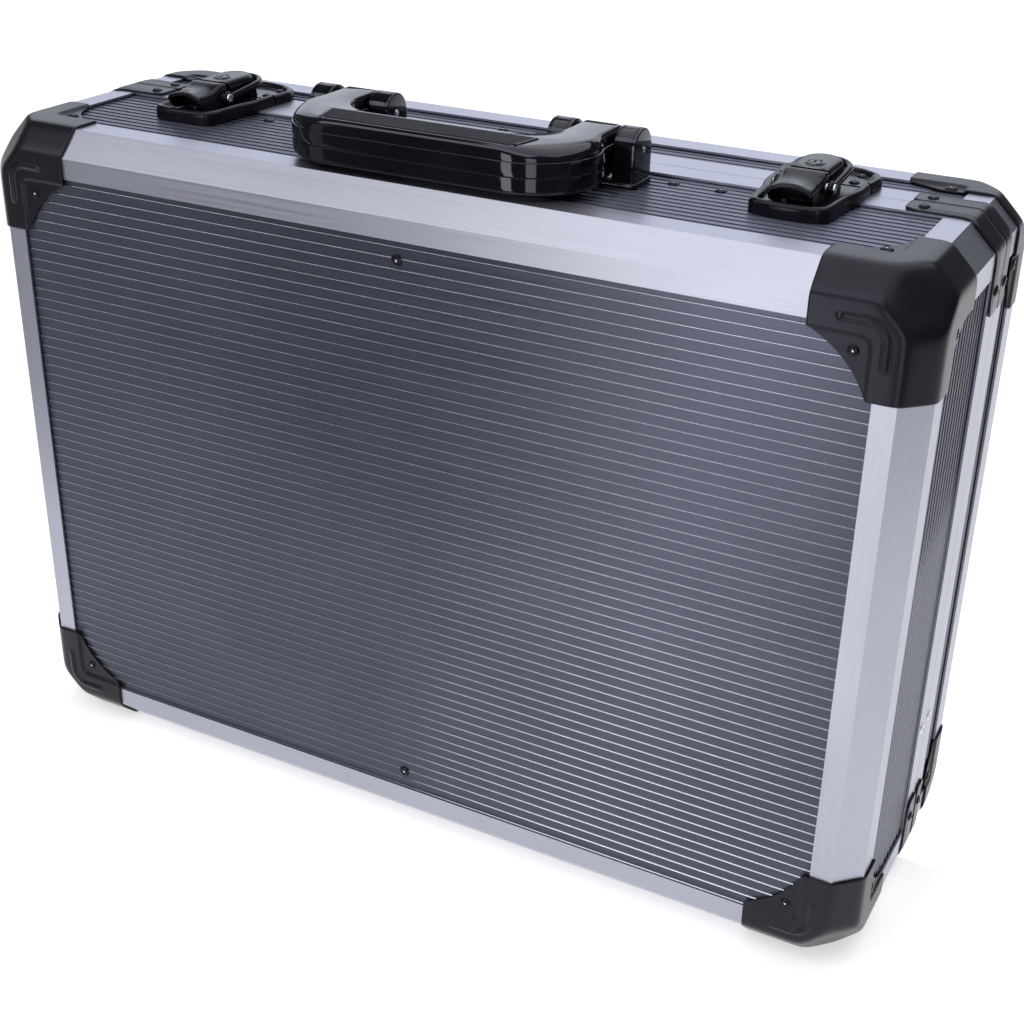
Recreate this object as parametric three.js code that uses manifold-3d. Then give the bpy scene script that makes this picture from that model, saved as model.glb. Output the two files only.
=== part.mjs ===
// Aluminium framed hard-shell case that stands on its hinge side, handle up.
// Two shells meet at a parting line: a deep base (front) and a shallow lid (rear).
// Each shell is ribbed board held in mitred aluminium edge frames, with corner
// posts, a rim extrusion, stamped corner protectors and clips at the parting line.
// Units are millimetres. X runs along the case, +Y to the rear, +Z up.
// The origin is the bottom centre of the closed case.
import * as THREE from 'three';
import { ConvexGeometry } from 'three/addons/geometries/ConvexGeometry.js';
import { mergeVertices } from 'three/addons/utils/BufferGeometryUtils.js';
import Module from 'manifold-3d';

const wasm = await Module();
wasm.setup();

// Case
const WIDTH = 460;
const HEIGHT = 325;
const DEPTH = 156;
const STANDOFF = 1.2; // how far the corner protectors stand proud of the frame
const GAP = 0.3; // clearance between pieces that touch
const BOTTOM = STANDOFF;
const TOP = BOTTOM + HEIGHT;
const EDGE_LEG = 11.3; // leg of the 45 degree facet along the front and rear edges
const POST_LEG = 11.2; // leg of the 45 degree facet along the four corner posts
const CORNER_SUM = 33.2; // the corner facet cuts the case where the three distances add to this
const SKIN = 1; // wall of every extrusion
const FRONT_FLANGE = 9.8;
const SIDE_FLANGE = 13.5;
const POST_FLANGE = 11.3;
const BOARD_FACE = 1.3; // board's outer face below the frame's outer face
const BOARD = 4.2;
const INNER_LEG = 6; // extrusions' inner leg, behind the board
const PARTING = 99.5;
const RIM_WIDTH = 13.7;
const LID_RIM_WIDTH = 14.6;

// Corner protectors and parting clips
const PLATE = 1;
const PROTECTOR_LEG = 49.3;
const PROTECTOR_BAND = 24; // the raised band, before it steps down to the gusset
const BASE_PROTECTOR_DEPTH = 50;
const LID_PROTECTOR_DEPTH = 31;
const GUSSET_DEPTH = 40;
const CLIP_LEG = 39.4;
const CLIP_WIDTH = 12.2;

// Latches
const LATCH_X = 151.5;
const LATCH_PIN = { depth: 74.5, height: 7.5, radius: 1.5 };
const KNUCKLE = 6.4;
const LEVER_HALF = 9.5;
const BAIL_HALF = 11.4;
const BAIL_WIRE = 1.4; // radius of the wire
const BAIL_BEND = 97; // depth where the loop's straight legs end
const BAIL_RISE = 2.3;
const CAP_TOP = 14;
const LOCK_DEPTH = 86;
const LOCK_RADIUS = 4.2;

// Handle, folded forward
const HANDLE_PIN = { depth: 68, height: 14, radius: 2 };
const HANDLE_HALF = 73.5;
const HANDLE_FRONT = 12;
const ARM_OUTER = 71;
const ARM_INNER = 51;
const GRIP_REAR = 36;
const HANDLE_SPLIT = 10;
const ARM_END = 9;
const INSERT = { front: 16.2, rear: 32.5, frontHalf: 46, rearHalf: 50 };
const LUG = { inner: 40, innerEnd: 50.5, outerStart: 71.6, outer: 82 };

// Hinges and stays
const HINGE_X = 130;
const HINGE_HALF = 25;
const KNUCKLE_RADIUS = 1.1;
const HINGE_PIN_RADIUS = 0.55;
const STAY_LENGTH = 75;
const STAY_HEIGHT = 80;
const STAY_WIDTH = 9;
const STAY_PIN = 1.5;
const STAY_BASE_DEPTH = 91;
const STAY_LID_DEPTH = 103.3;

// Lining
const LINING_OUTER = 7.5;
const LINING = 2.6;
const LINING_CORNER = 1.2; // clearance behind the corner facets

const y = (depth) => depth - DEPTH / 2;
const up = (height) => TOP + height;

const metal = (color, roughness) => new THREE.MeshStandardMaterial({ color, roughness, metalness: 1 });
const plain = (color, roughness) => new THREE.MeshStandardMaterial({ color, roughness, metalness: 0 });
const finish = {
  frame: metal(0xc4c4ce, 0.35),
  board: metal(0x5a5f70, 0.45),
  black: metal(0x26262a, 0.5),
  latch: metal(0x1c1c20, 0.3),
  gloss: plain(0x0b0b0d, 0.15),
  insert: plain(0x3a3a42, 0.5),
  steel: metal(0xb8b8bc, 0.3),
  lining: plain(0x1d1d20, 0.95),
};

const group = new THREE.Group();

// Six times the volume inside a closed mesh, negative when its faces point inwards
function signedVolume(position, index) {
  const corner = [new THREE.Vector3(), new THREE.Vector3(), new THREE.Vector3()];
  let sum = 0;
  for (let i = 0; i < index.count; i += 3) {
    corner.forEach((point, k) => point.fromBufferAttribute(position, index.getX(i + k)));
    sum += corner[0].dot(corner[1].clone().cross(corner[2]));
  }
  return sum;
}

function solid(geometry) {
  const bare = geometry.clone();
  bare.deleteAttribute('normal');
  bare.deleteAttribute('uv');
  const merged = mergeVertices(bare, 1e-4);
  const triangles = new Uint32Array(merged.index.array);
  if (signedVolume(merged.attributes.position, merged.index) < 0) {
    triangles.reverse();
  }
  return new wasm.Manifold(
    new wasm.Mesh({
      numProp: 3,
      vertProperties: new Float32Array(merged.attributes.position.array),
      triVerts: triangles,
    }),
  );
}

function geometryOf(manifold) {
  const mesh = manifold.getMesh();
  const geometry = new THREE.BufferGeometry();
  geometry.setAttribute('position', new THREE.BufferAttribute(new Float32Array(mesh.vertProperties), 3));
  geometry.setIndex(new THREE.BufferAttribute(new Uint32Array(mesh.triVerts), 1));
  geometry.computeVertexNormals();
  return geometry;
}

function add(name, manifold, material) {
  const mesh = new THREE.Mesh(geometryOf(manifold), material);
  mesh.name = name;
  group.add(mesh);
}

const union = (...solids) => solids.reduce((sum, next) => sum.add(next));

function outline(points) {
  return new THREE.Shape(points.map(([a, b]) => new THREE.Vector2(a, b)));
}

function extrude(points, length) {
  return new THREE.ExtrudeGeometry(outline(points), { depth: length, bevelEnabled: false });
}

// Outline in (y, z), extruded along X
function alongX(points, x0, x1) {
  const turn = new THREE.Matrix4().set(0, 0, 1, x0, 1, 0, 0, 0, 0, 1, 0, 0, 0, 0, 0, 1);
  return solid(extrude(points, x1 - x0).applyMatrix4(turn));
}

// Outline in (x, z), extruded along Y
function alongY(points, y0, y1) {
  return solid(extrude(points, y1 - y0).rotateX(Math.PI / 2).translate(0, y1, 0));
}

// Outline in (x, y), extruded along Z
function alongZ(points, z0, z1) {
  return solid(extrude(points, z1 - z0).translate(0, 0, z0));
}

function box(x0, x1, y0, y1, z0, z1) {
  const shape = new THREE.BoxGeometry(x1 - x0, y1 - y0, z1 - z0);
  return solid(shape.translate((x0 + x1) / 2, (y0 + y1) / 2, (z0 + z1) / 2));
}

function rodX(depth, height, radius, x0, x1, sides = 16) {
  const shape = new THREE.CylinderGeometry(radius, radius, x1 - x0, sides);
  return solid(shape.rotateZ(Math.PI / 2).translate((x0 + x1) / 2, y(depth), height));
}

function rodZ(x, depth, radius, z0, z1, sides = 20) {
  const shape = new THREE.CylinderGeometry(radius, radius, z1 - z0, sides);
  return solid(shape.rotateX(Math.PI / 2).translate(x, y(depth), (z0 + z1) / 2));
}

function arc(cx, cy, radius, from, to, steps) {
  const points = [];
  for (let i = 0; i <= steps; i += 1) {
    const angle = THREE.MathUtils.degToRad(from + ((to - from) * i) / steps);
    points.push([cx + radius * Math.cos(angle), cy + radius * Math.sin(angle)]);
  }
  return points;
}

const mirror = (points, centre = 0) => points.map(([a, b]) => [2 * centre - a, b]).reverse();

// The whole case as one convex block with faceted edges and corners, grown by offset
function envelope(offset) {
  const half = [WIDTH / 2, DEPTH / 2, HEIGHT / 2];
  const planes = [];
  const steps = [-1, 0, 1];
  for (const nx of steps) {
    for (const ny of steps) {
      for (const nz of steps) {
        const used = Math.abs(nx) + Math.abs(ny) + Math.abs(nz);
        if (used > 0) {
          const reach = Math.abs(nx) * half[0] + Math.abs(ny) * half[1] + Math.abs(nz) * half[2];
          const leg = ny === 0 ? POST_LEG : EDGE_LEG;
          const cut = [0, 0, leg, CORNER_SUM][used];
          const normal = new THREE.Vector3(nx, ny, nz);
          planes.push({ normal, reach: reach - cut + offset * Math.sqrt(used) });
        }
      }
    }
  }
  const corners = [];
  const inside = (p) => planes.every((plane) => plane.normal.dot(p) <= plane.reach + 1e-6);
  for (let i = 0; i < planes.length; i += 1) {
    for (let j = i + 1; j < planes.length; j += 1) {
      for (let k = j + 1; k < planes.length; k += 1) {
        const rows = [planes[i], planes[j], planes[k]];
        const matrix = new THREE.Matrix3().set(...rows.flatMap((row) => row.normal.toArray()));
        if (Math.abs(matrix.determinant()) > 1e-6) {
          const point = new THREE.Vector3(...rows.map((row) => row.reach)).applyMatrix3(matrix.invert());
          if (inside(point) && !corners.some((other) => other.distanceTo(point) < 1e-4)) {
            corners.push(point);
          }
        }
      }
    }
  }
  return solid(new ConvexGeometry(corners).translate(0, 0, BOTTOM + HEIGHT / 2));
}

const CASE = envelope(0);
const BOARD_SPACE = envelope(-BOARD_FACE);
const PROTECTOR_SHEET = envelope(STANDOFF).subtract(envelope(STANDOFF - PLATE));

// A frame of mitred bars round the case. The profile is in (inset from the side, depth).
function mitredFrame(profile) {
  const corners = [[-1, -1], [1, -1], [1, 1], [-1, 1]];
  const positions = [];
  for (const [sx, sz] of corners) {
    for (const [inset, depth] of profile) {
      const z = sz > 0 ? TOP - inset : BOTTOM + inset;
      positions.push(sx * (WIDTH / 2 - inset), y(depth), z);
    }
  }
  const count = profile.length;
  const index = [];
  for (let bar = 0; bar < 4; bar += 1) {
    const next = (bar + 1) % 4;
    for (let i = 0; i < count; i += 1) {
      const j = (i + 1) % count;
      const [a, b] = [bar * count + i, bar * count + j];
      const [c, d] = [next * count + j, next * count + i];
      index.push(a, b, c, a, c, d);
    }
  }
  const geometry = new THREE.BufferGeometry();
  geometry.setAttribute('position', new THREE.Float32BufferAttribute(positions, 3));
  geometry.setIndex(index);
  return solid(geometry);
}

// Depth seen from the front for the base, from the rear for the lid
const shells = {
  base: { depth: (d) => d, front: true },
  lid: { depth: (d) => DEPTH - d, front: false },
};

function extrusionProfile(leg, flangeA, flangeB, legA, legB) {
  const wall = leg + SKIN * Math.SQRT2;
  const inner = INNER_LEG;
  return [
    [leg + flangeA, 0],
    [leg, 0],
    [0, leg],
    [0, leg + flangeB],
    [SKIN, leg + flangeB],
    [SKIN, wall - SKIN],
    [inner, wall - inner],
    [inner, legB],
    [inner + SKIN, legB],
    [inner + SKIN, inner + SKIN],
    [legA, inner + SKIN],
    [legA, inner],
    [wall - inner, inner],
    [wall - SKIN, SKIN],
    [leg + flangeA, SKIN],
  ];
}

function edgeFrame(shell) {
  const profile = extrusionProfile(EDGE_LEG, FRONT_FLANGE, SIDE_FLANGE, 19, 22);
  return mitredFrame(profile.map(([a, d]) => [a, shell.depth(d)])).intersect(CASE);
}

function facePanel(shell) {
  const half = WIDTH / 2 - 13.5;
  const faces = [y(shell.depth(BOARD_FACE)), y(shell.depth(BOARD_FACE + BOARD))].sort((a, b) => a - b);
  return box(-half, half, ...faces, BOTTOM + 13.5, TOP - 13.5).intersect(BOARD_SPACE);
}

// A rim extrusion: outer band, end wall at the parting line and inner leg
function rim(shell, end, width) {
  const step = shell.front ? -1 : 1;
  const wallEnd = end + step * 1.5;
  const far = end + step * width;
  const innerEnd = end + step * (width - 2.2);
  const profile = [[0, far], [0, end], [9, end], [9, wallEnd], [INNER_LEG + SKIN, wallEnd]];
  profile.push([INNER_LEG + SKIN, innerEnd], [INNER_LEG, innerEnd], [INNER_LEG, wallEnd]);
  profile.push([SKIN, wallEnd], [SKIN, far]);
  const sideCut = [[WIDTH / 2 - POST_LEG, TOP], [WIDTH / 2, TOP - POST_LEG]];
  sideCut.push([WIDTH / 2, BOTTOM + POST_LEG], [WIDTH / 2 - POST_LEG, BOTTOM]);
  const octagon = [...sideCut, ...mirror(sideCut)];
  let ring = mitredFrame(profile);
  ring = ring.intersect(alongY(octagon, y(0), y(DEPTH)));
  const facets = facetWall(Math.min(end, far), Math.max(end, far));
  ring = union(ring, ...facets);
  for (const side of [-1, 1]) {
    const notch = [side * HINGE_X - HINGE_HALF - 1, side * HINGE_X + HINGE_HALF + 1];
    ring = ring.subtract(box(...notch, y(PARTING) - 1.7, y(PARTING) + 1.7, 0, BOTTOM + 1.6));
  }
  return ring;
}

// The 45 degree wall that closes each corner of a rim or side band
function facetWall(d0, d1) {
  const wall = SKIN * Math.SQRT2;
  const strip = [
    [POST_LEG, 0],
    [0, POST_LEG],
    [0, POST_LEG + 4],
    [SKIN, POST_LEG + 4],
    [SKIN, POST_LEG + wall - SKIN],
    [POST_LEG + wall - SKIN, SKIN],
    [POST_LEG + 4, SKIN],
    [POST_LEG + 4, 0],
  ];
  return cornerSigns.map(([sx, sz]) => alongY(cornerPoints(strip, sx, sz), y(d0), y(d1)));
}

const cornerSigns = [[-1, -1], [1, -1], [1, 1], [-1, 1]];

// Points given as (inset from the end, inset from the top or bottom)
function cornerPoints(points, sx, sz) {
  return points.map(([a, b]) => [sx * (WIDTH / 2 - a), sz > 0 ? TOP - b : BOTTOM + b]);
}

function stayStud(side, depth, reach) {
  const inner = WIDTH / 2 - reach;
  const ends = [side * inner, side * (WIDTH / 2 - INNER_LEG - SKIN / 2)].sort((a, b) => a - b);
  return rodX(depth, BOTTOM + STAY_HEIGHT, STAY_PIN, ...ends, 12);
}

const names = { '-1': 'left', 1: 'right' };
const levels = { '-1': 'bottom', 1: 'top' };

function protector(shell, sx, sz, reach) {
  const band = PROTECTOR_BAND;
  const leg = PROTECTOR_LEG;
  const out = -STANDOFF;
  const low = BOARD_FACE - PLATE - 0.2;
  const seat = BOARD_FACE - 0.2;
  const edge = (a, b, c, d) => {
    const radius = 48;
    const middle = new THREE.Vector2((a + c) / 2, (b + d) / 2);
    const chord = new THREE.Vector2(c - a, d - b);
    const rise = Math.sqrt(radius ** 2 - (chord.length() / 2) ** 2);
    const away = new THREE.Vector2(-chord.y, chord.x).normalize().multiplyScalar(rise);
    if (away.x < 0 || away.y < 0) {
      away.negate();
    }
    const centre = middle.add(away);
    const from = THREE.MathUtils.radToDeg(Math.atan2(b - centre.y, a - centre.x));
    const to = THREE.MathUtils.radToDeg(Math.atan2(d - centre.y, c - centre.x));
    const turn = ((to - from + 540) % 360) - 180;
    return arc(centre.x, centre.y, radius, from, from + turn, 6);
  };
  const place = (a, d, h) => [sx * (WIDTH / 2 - a), y(shell.depth(d)), sz > 0 ? TOP - h : BOTTOM + h];
  // Each face's sheet is drawn in (u, v, distance below the face) and mapped to the case
  const face = (points, near, far, map) => {
    const geometry = extrude(points, far - near);
    geometry.translate(0, 0, near);
    const position = geometry.attributes.position;
    for (let i = 0; i < position.count; i += 1) {
      position.setXYZ(i, ...map(position.getX(i), position.getY(i), position.getZ(i)));
    }
    return solid(geometry);
  };
  const maps = [
    { v: leg, map: (u, v, n) => place(u, n, v) },
    { v: reach, map: (u, v, n) => place(u, v, n) },
    { v: reach, map: (u, v, n) => place(n, v, u) },
  ];
  const deep = EDGE_LEG / 2 + 0.4;
  const facetDepth = CORNER_SUM - 2 * deep + 1;
  const tip = [[-2, -2], [facetDepth, -2], [facetDepth, facetDepth], [-2, facetDepth]];
  let sheet = face(tip, -2, facetDepth, maps[0].map);
  const parts = [];
  for (const { v, map } of maps) {
    const vBand = v === leg ? band : Math.min(26.2, v - 4);
    const curve = v === leg ? edge(leg, vBand, band, v) : [[leg, vBand], [band + 8, vBand + 3], [band, v]];
    if (v === reach && reach > GUSSET_DEPTH) {
      curve.splice(1, 1, [leg - 11, 31], [band + 2, 46]);
    }
    const footprint = [[-2, -2], [leg, -2], ...curve, [-2, v]];
    const bands = [[-2, -2], [leg, -2], [leg, vBand], [band, vBand], [band, v], [-2, v]];
    sheet = sheet.add(face(bands, -2, deep, map));
    const gussetOnly = face(footprint, low, seat, map);
    const cover = [[band - 1, vBand - 1], [leg + 9, vBand - 1], [leg + 9, v + 9], [band - 1, v + 9]];
    parts.push(gussetOnly.intersect(face(cover, low - 1, seat + 1, map)));
    const joggle = [
      [leg, vBand - 1], [leg, vBand], [band, vBand], [band, v], [band - 1, v], [band - 1, vBand - 1],
    ];
    parts.push(face(joggle, out, seat, map));
  }
  return union(sheet.intersect(PROTECTOR_SHEET), ...parts);
}

function clip(sx, sz, d0, d1) {
  const out = STANDOFF;
  const near = STANDOFF - PLATE;
  const shift = Math.SQRT2 - 1;
  const points = [
    [CLIP_LEG, -out],
    [POST_LEG - out * shift, -out],
    [-out, POST_LEG - out * shift],
    [-out, CLIP_LEG],
    [-near, CLIP_LEG],
    [-near, POST_LEG - near * shift],
    [POST_LEG - near * shift, -near],
    [CLIP_LEG, -near],
  ];
  return alongY(cornerPoints(points, sx, sz), y(d0), y(d1));
}

// A lining tray, with its corners cut off behind the case's corner facets
function tray(d0, d1, floorAt) {
  const half = WIDTH / 2 - LINING_OUTER;
  const [z0, z1] = [BOTTOM + LINING_OUTER, TOP - LINING_OUTER];
  const outer = box(-half, half, y(d0), y(d1), z0, z1).intersect(envelope(-LINING_CORNER));
  const [c0, c1] = floorAt === 'low' ? [d0 + LINING, d1 + 1] : [d0 - 1, d1 - LINING];
  const innerHalf = half - LINING;
  const hollow = box(-innerHalf, innerHalf, y(c0), y(c1), z0 + LINING, z1 - LINING);
  return outer.subtract(hollow.intersect(envelope(-LINING_CORNER - LINING)));
}

// ---- Shells -------------------------------------------------------------

const frameEdge = EDGE_LEG + SIDE_FLANGE;
const baseEnd = PARTING - GAP / 2;
const lidStart = PARTING + GAP / 2;
const wallEnd = PARTING - 2.5;
const wallLength = [-WIDTH / 2 + 13, WIDTH / 2 - 13];
const wallHeight = [BOTTOM + 13, TOP - 13];

add('base_face_panel', facePanel(shells.base), finish.board);
add('base_edge_frame', edgeFrame(shells.base), finish.frame);
let baseRim = rim(shells.base, baseEnd, RIM_WIDTH);
let lidRim = rim(shells.lid, lidStart, LID_RIM_WIDTH);
for (const side of [-1, 1]) {
  baseRim = baseRim.add(stayStud(side, STAY_BASE_DEPTH, 14.4));
  lidRim = lidRim.add(stayStud(side, STAY_LID_DEPTH, 9.6));
}
add('base_rim', baseRim, finish.frame);

for (const level of [-1, 1]) {
  const outer = level > 0 ? TOP - BOARD_FACE : BOTTOM + BOARD_FACE;
  const heights = [outer, outer - level * BOARD].sort((a, b) => a - b);
  const wall = box(...wallLength, y(13.5), y(wallEnd), ...heights);
  add(`base_wall_${levels[level]}`, wall.intersect(BOARD_SPACE), finish.board);
}
for (const side of [-1, 1]) {
  const outer = side * (WIDTH / 2 - BOARD_FACE);
  const widths = [outer, outer - side * BOARD].sort((a, b) => a - b);
  const wall = box(...widths, y(13.5), y(wallEnd), ...wallHeight);
  add(`base_wall_${names[side]}`, wall.intersect(BOARD_SPACE), finish.board);
}

const postProfile = extrusionProfile(POST_LEG, POST_FLANGE, POST_FLANGE, 19, 19);
for (const [sx, sz] of cornerSigns) {
  const place = `${levels[sz]}_${names[sx]}`;
  const ends = [y(frameEdge + GAP), y(baseEnd - RIM_WIDTH - GAP)];
  add(`base_post_${place}`, alongY(cornerPoints(postProfile, sx, sz), ...ends), finish.frame);
  add(`base_protector_${place}`, protector(shells.base, sx, sz, BASE_PROTECTOR_DEPTH), finish.black);
  const gap = sz > 0 ? 0.3 : 1.6;
  add(`base_clip_${place}`, clip(sx, sz, PARTING - CLIP_WIDTH - 1.5, PARTING - gap), finish.black);
}

add('lid_face_panel', facePanel(shells.lid), finish.board);
add('lid_edge_frame', edgeFrame(shells.lid), finish.frame);
add('lid_rim', lidRim, finish.frame);

// The lid's four narrow walls and their corner posts are one band
function lidSideBand() {
  const full = [y(PARTING + 2.5), y(DEPTH - 13.5)];
  const shown = [y(lidStart + LID_RIM_WIDTH + GAP), y(DEPTH - frameEdge - GAP)];
  const back = BOARD_FACE + BOARD;
  const inner = 9;
  const end = POST_LEG + POST_FLANGE;
  const post = [[end, 0], [POST_LEG, 0], [0, POST_LEG], [0, end]];
  post.push([back, end], [back, inner], [inner, back], [end, back]);
  const pieces = cornerSigns.map(([sx, sz]) => alongY(cornerPoints(post, sx, sz), ...shown));
  for (const sign of [-1, 1]) {
    const outerZ = sign > 0 ? TOP - BOARD_FACE : BOTTOM + BOARD_FACE;
    const outerX = sign * (WIDTH / 2 - BOARD_FACE);
    const heights = [outerZ, outerZ - sign * BOARD].sort((a, b) => a - b);
    const widths = [outerX, outerX - sign * BOARD].sort((a, b) => a - b);
    pieces.push(box(...wallLength, ...full, ...heights).intersect(BOARD_SPACE));
    pieces.push(box(...widths, ...full, ...wallHeight).intersect(BOARD_SPACE));
  }
  return union(...pieces);
}
add('lid_wall_band', lidSideBand(), finish.board);

for (const [sx, sz] of cornerSigns) {
  const place = `${levels[sz]}_${names[sx]}`;
  add(`lid_protector_${place}`, protector(shells.lid, sx, sz, LID_PROTECTOR_DEPTH), finish.black);
  const gap = sz > 0 ? 0.3 : 1.6;
  add(`lid_clip_${place}`, clip(sx, sz, PARTING + gap, PARTING + CLIP_WIDTH), finish.black);
}

add('base_lining', tray(LINING_OUTER, 85.5, 'low'), finish.lining);
add('lid_lining', tray(118, DEPTH - LINING_OUTER, 'high'), finish.lining);

// ---- Latches ------------------------------------------------------------

const pinY = y(LATCH_PIN.depth);
const pinZ = up(LATCH_PIN.height);

// Side outline of the latch plate, as half widths at each depth
function plateOutline(points, x0) {
  const right = points.map(([half, depth]) => [x0 + half, y(depth)]);
  return [...right, ...mirror(right, x0)];
}

function latch(side) {
  const x0 = side * LATCH_X;
  const name = names[side];
  const plateEnd = baseEnd - GAP;
  const front = [[0.01, 50.6], [8, 51.1], [15, 52.6], [17, 54.5], [17.6, 58], [20.5, 74], [21.2, 84]];
  const frontShape = plateOutline([...front, [21.2, plateEnd]], x0);
  const hollow = [[0.01, 54], [8, 54.4], [13.2, 55.6], [14.4, 58], [17.4, 74], [18.2, 84], [18.2, 110]];
  const hollowShape = plateOutline(hollow, x0);
  const rimFront = baseEnd - RIM_WIDTH;
  let plate = alongZ(frontShape, up(-1), up(5.5));
  plate = plate.subtract(alongZ(hollowShape, up(1.4), up(9)));
  plate = plate.subtract(box(x0 - 40, x0 + 40, y(rimFront - GAP), y(110), up(-5), up(GAP)));
  for (const ear of [-1, 1]) {
    const widths = [x0 + ear * 4, x0 + ear * 6].sort((a, b) => a - b);
    const shape = [[pinY - 3.4, up(0.8)], [pinY + 3.4, up(0.8)], ...arc(pinY, pinZ, 3.4, 0, 180, 8)];
    plate = plate.add(alongX(shape, ...widths));
  }
  plate = plate.add(rodX(LATCH_PIN.depth, pinZ, LATCH_PIN.radius, x0 - 13, x0 + 13));
  add(`latch_plate_${name}`, plate, finish.latch);

  // Lever: hollow thumb lever that turns on the pin
  const leverSide = [
    [y(55.4), up(11.2)],
    [y(57), up(8)],
    [y(59.5), up(3.6)],
    [y(66), up(2.9)],
    ...arc(pinY, pinZ, 4.6, -90, 35, 6),
    ...arc(pinY, pinZ, KNUCKLE, 62, 132, 6),
    [y(57.2), up(12)],
  ];
  const cavity = [
    [y(50), up(-1)],
    [y(50), up(9.4)],
    [y(58.5), up(9.9)],
    [y(64.4), up(10.4)],
    [y(64.4), up(-1)],
  ];
  const knuckleRoom = [
    [y(66.2), up(-1)],
    [y(66.2), up(11.4)],
    ...arc(pinY, pinZ, 4.4, 90, 64, 3),
    [pinY + 9, pinZ + 9 * Math.tan(THREE.MathUtils.degToRad(64))],
    [pinY + 9, up(-1)],
  ];
  const inner = LEVER_HALF - 2.2;
  let lever = alongX(leverSide, x0 - LEVER_HALF, x0 + LEVER_HALF);
  lever = lever.subtract(alongX(cavity, x0 - inner, x0 + inner));
  lever = lever.subtract(alongX(knuckleRoom, x0 - inner, x0 + inner));
  lever = lever.subtract(rodX(LATCH_PIN.depth, pinZ, LATCH_PIN.radius + 0.25, x0 - 12, x0 + 12));
  add(`latch_lever_${name}`, lever, finish.latch);

  // Bail: a wire loop from the pin round the rear of the lock housing
  const straight = y(BAIL_BEND) - pinY;
  const loop = [];
  for (let i = 0; i <= 12; i += 1) {
    const angle = Math.PI * (1 - i / 12);
    const along = straight + BAIL_HALF * Math.sin(angle);
    const rise = BAIL_RISE * (0.7 + 0.3 * Math.sin(angle));
    loop.push(new THREE.Vector3(x0 + BAIL_HALF * Math.cos(angle), pinY + along, pinZ + rise));
  }
  const legPoints = (leg) => [2, 2 + (straight - 2) / 2].map((along) => (
    new THREE.Vector3(x0 + leg * BAIL_HALF, pinY + along, pinZ + (BAIL_RISE * 0.7 * (along - 2)) / straight)
  ));
  const route = [...legPoints(-1), ...loop, ...legPoints(1).reverse()];
  const section = outline(arc(0, 0, BAIL_WIRE, 0, 315, 7));
  const extrudePath = new THREE.CatmullRomCurve3(route);
  let bail = solid(new THREE.ExtrudeGeometry(section, { steps: 27, bevelEnabled: false, extrudePath }));
  for (const leg of [-1, 1]) {
    const widths = [x0 + leg * (BAIL_HALF - 1.4), x0 + leg * (BAIL_HALF + 1.3)].sort((a, b) => a - b);
    bail = bail.add(rodX(LATCH_PIN.depth, pinZ, 3.1, ...widths));
  }
  bail = bail.subtract(rodX(LATCH_PIN.depth, pinZ, LATCH_PIN.radius + 0.25, x0 - 20, x0 + 20));
  add(`latch_bail_${name}`, bail, finish.latch);

  // Lock housing: a cap on skirts over the plate, cut back to clear the lever's knuckle
  const capHalf = 9;
  const capEnd = 96;
  const arched = (half, start) => [
    [x0 - half, y(start)],
    [x0 + half, y(start)],
    ...arc(x0, y(capEnd), half, 0, 180, 14),
  ];
  const capShape = arched(capHalf, LATCH_PIN.depth + 0.4);
  const roomShape = arched(capHalf - 1.6, LATCH_PIN.depth - 4.5);
  let cap = alongZ(capShape, up(1.4 + GAP), up(CAP_TOP));
  cap = cap.subtract(alongZ(roomShape, up(0), up(12)));
  cap = cap.subtract(rodX(LATCH_PIN.depth, pinZ, KNUCKLE + 0.35, x0 - 12, x0 + 12, 48));
  cap = cap.subtract(box(x0 - 12, x0 + 12, y(plateEnd - 1), y(110), up(0), up(10.4)));
  cap = cap.subtract(rodZ(x0, LOCK_DEPTH, LOCK_RADIUS + 0.2, up(5), up(20)));
  add(`latch_cap_${name}`, cap, finish.latch);

  let lock = union(
    rodZ(x0, LOCK_DEPTH, LOCK_RADIUS, up(9.5), up(CAP_TOP + 0.5)),
    rodZ(x0, LOCK_DEPTH, 2.2, up(5.5), up(10)),
    box(x0 - 1.4, x0 + 1.4, y(LOCK_DEPTH - 4.7), y(LOCK_DEPTH), up(6), up(7.4)),
  );
  lock = lock.subtract(box(x0 - 0.5, x0 + 0.5, y(LOCK_DEPTH - 2.4), y(LOCK_DEPTH + 2.4), up(12.5), up(16)));
  add(`latch_lock_${name}`, lock, finish.steel);

  // Catch on the lid, with the hook that the bail draws on
  const catchStart = lidStart + GAP;
  const rear = [[21.4, catchStart], [22.6, 112], [19.5, 118.5], [12, 123.3], [0.01, 125.4]];
  const rearShape = plateOutline(rear, x0);
  const rearHollow = [[18.4, catchStart - 5], [18.4, 100], [19, 111], [15.5, 117], [15.5, 130]];
  const rimRear = lidStart + LID_RIM_WIDTH;
  let catchPlate = alongZ(rearShape, up(-1), up(5));
  catchPlate = catchPlate.subtract(alongZ(plateOutline(rearHollow, x0), up(1.4), up(9)));
  catchPlate = catchPlate.subtract(box(x0 - 40, x0 + 40, y(90), y(rimRear + GAP), up(-5), up(GAP)));
  const hook = [
    [y(100.8), up(0.8)],
    [y(106.5), up(0.8)],
    [y(105), up(4)],
    [y(104.6), up(7.2)],
    [y(102.4), up(7.4)],
  ];
  catchPlate = catchPlate.add(alongX(hook, x0 - 6.5, x0 + 6.5));
  add(`latch_catch_${name}`, catchPlate, finish.latch);
}
latch(-1);
latch(1);

// ---- Handle -------------------------------------------------------------

const armY = y(HANDLE_PIN.depth);
const armZ = up(HANDLE_PIN.height);

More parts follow.
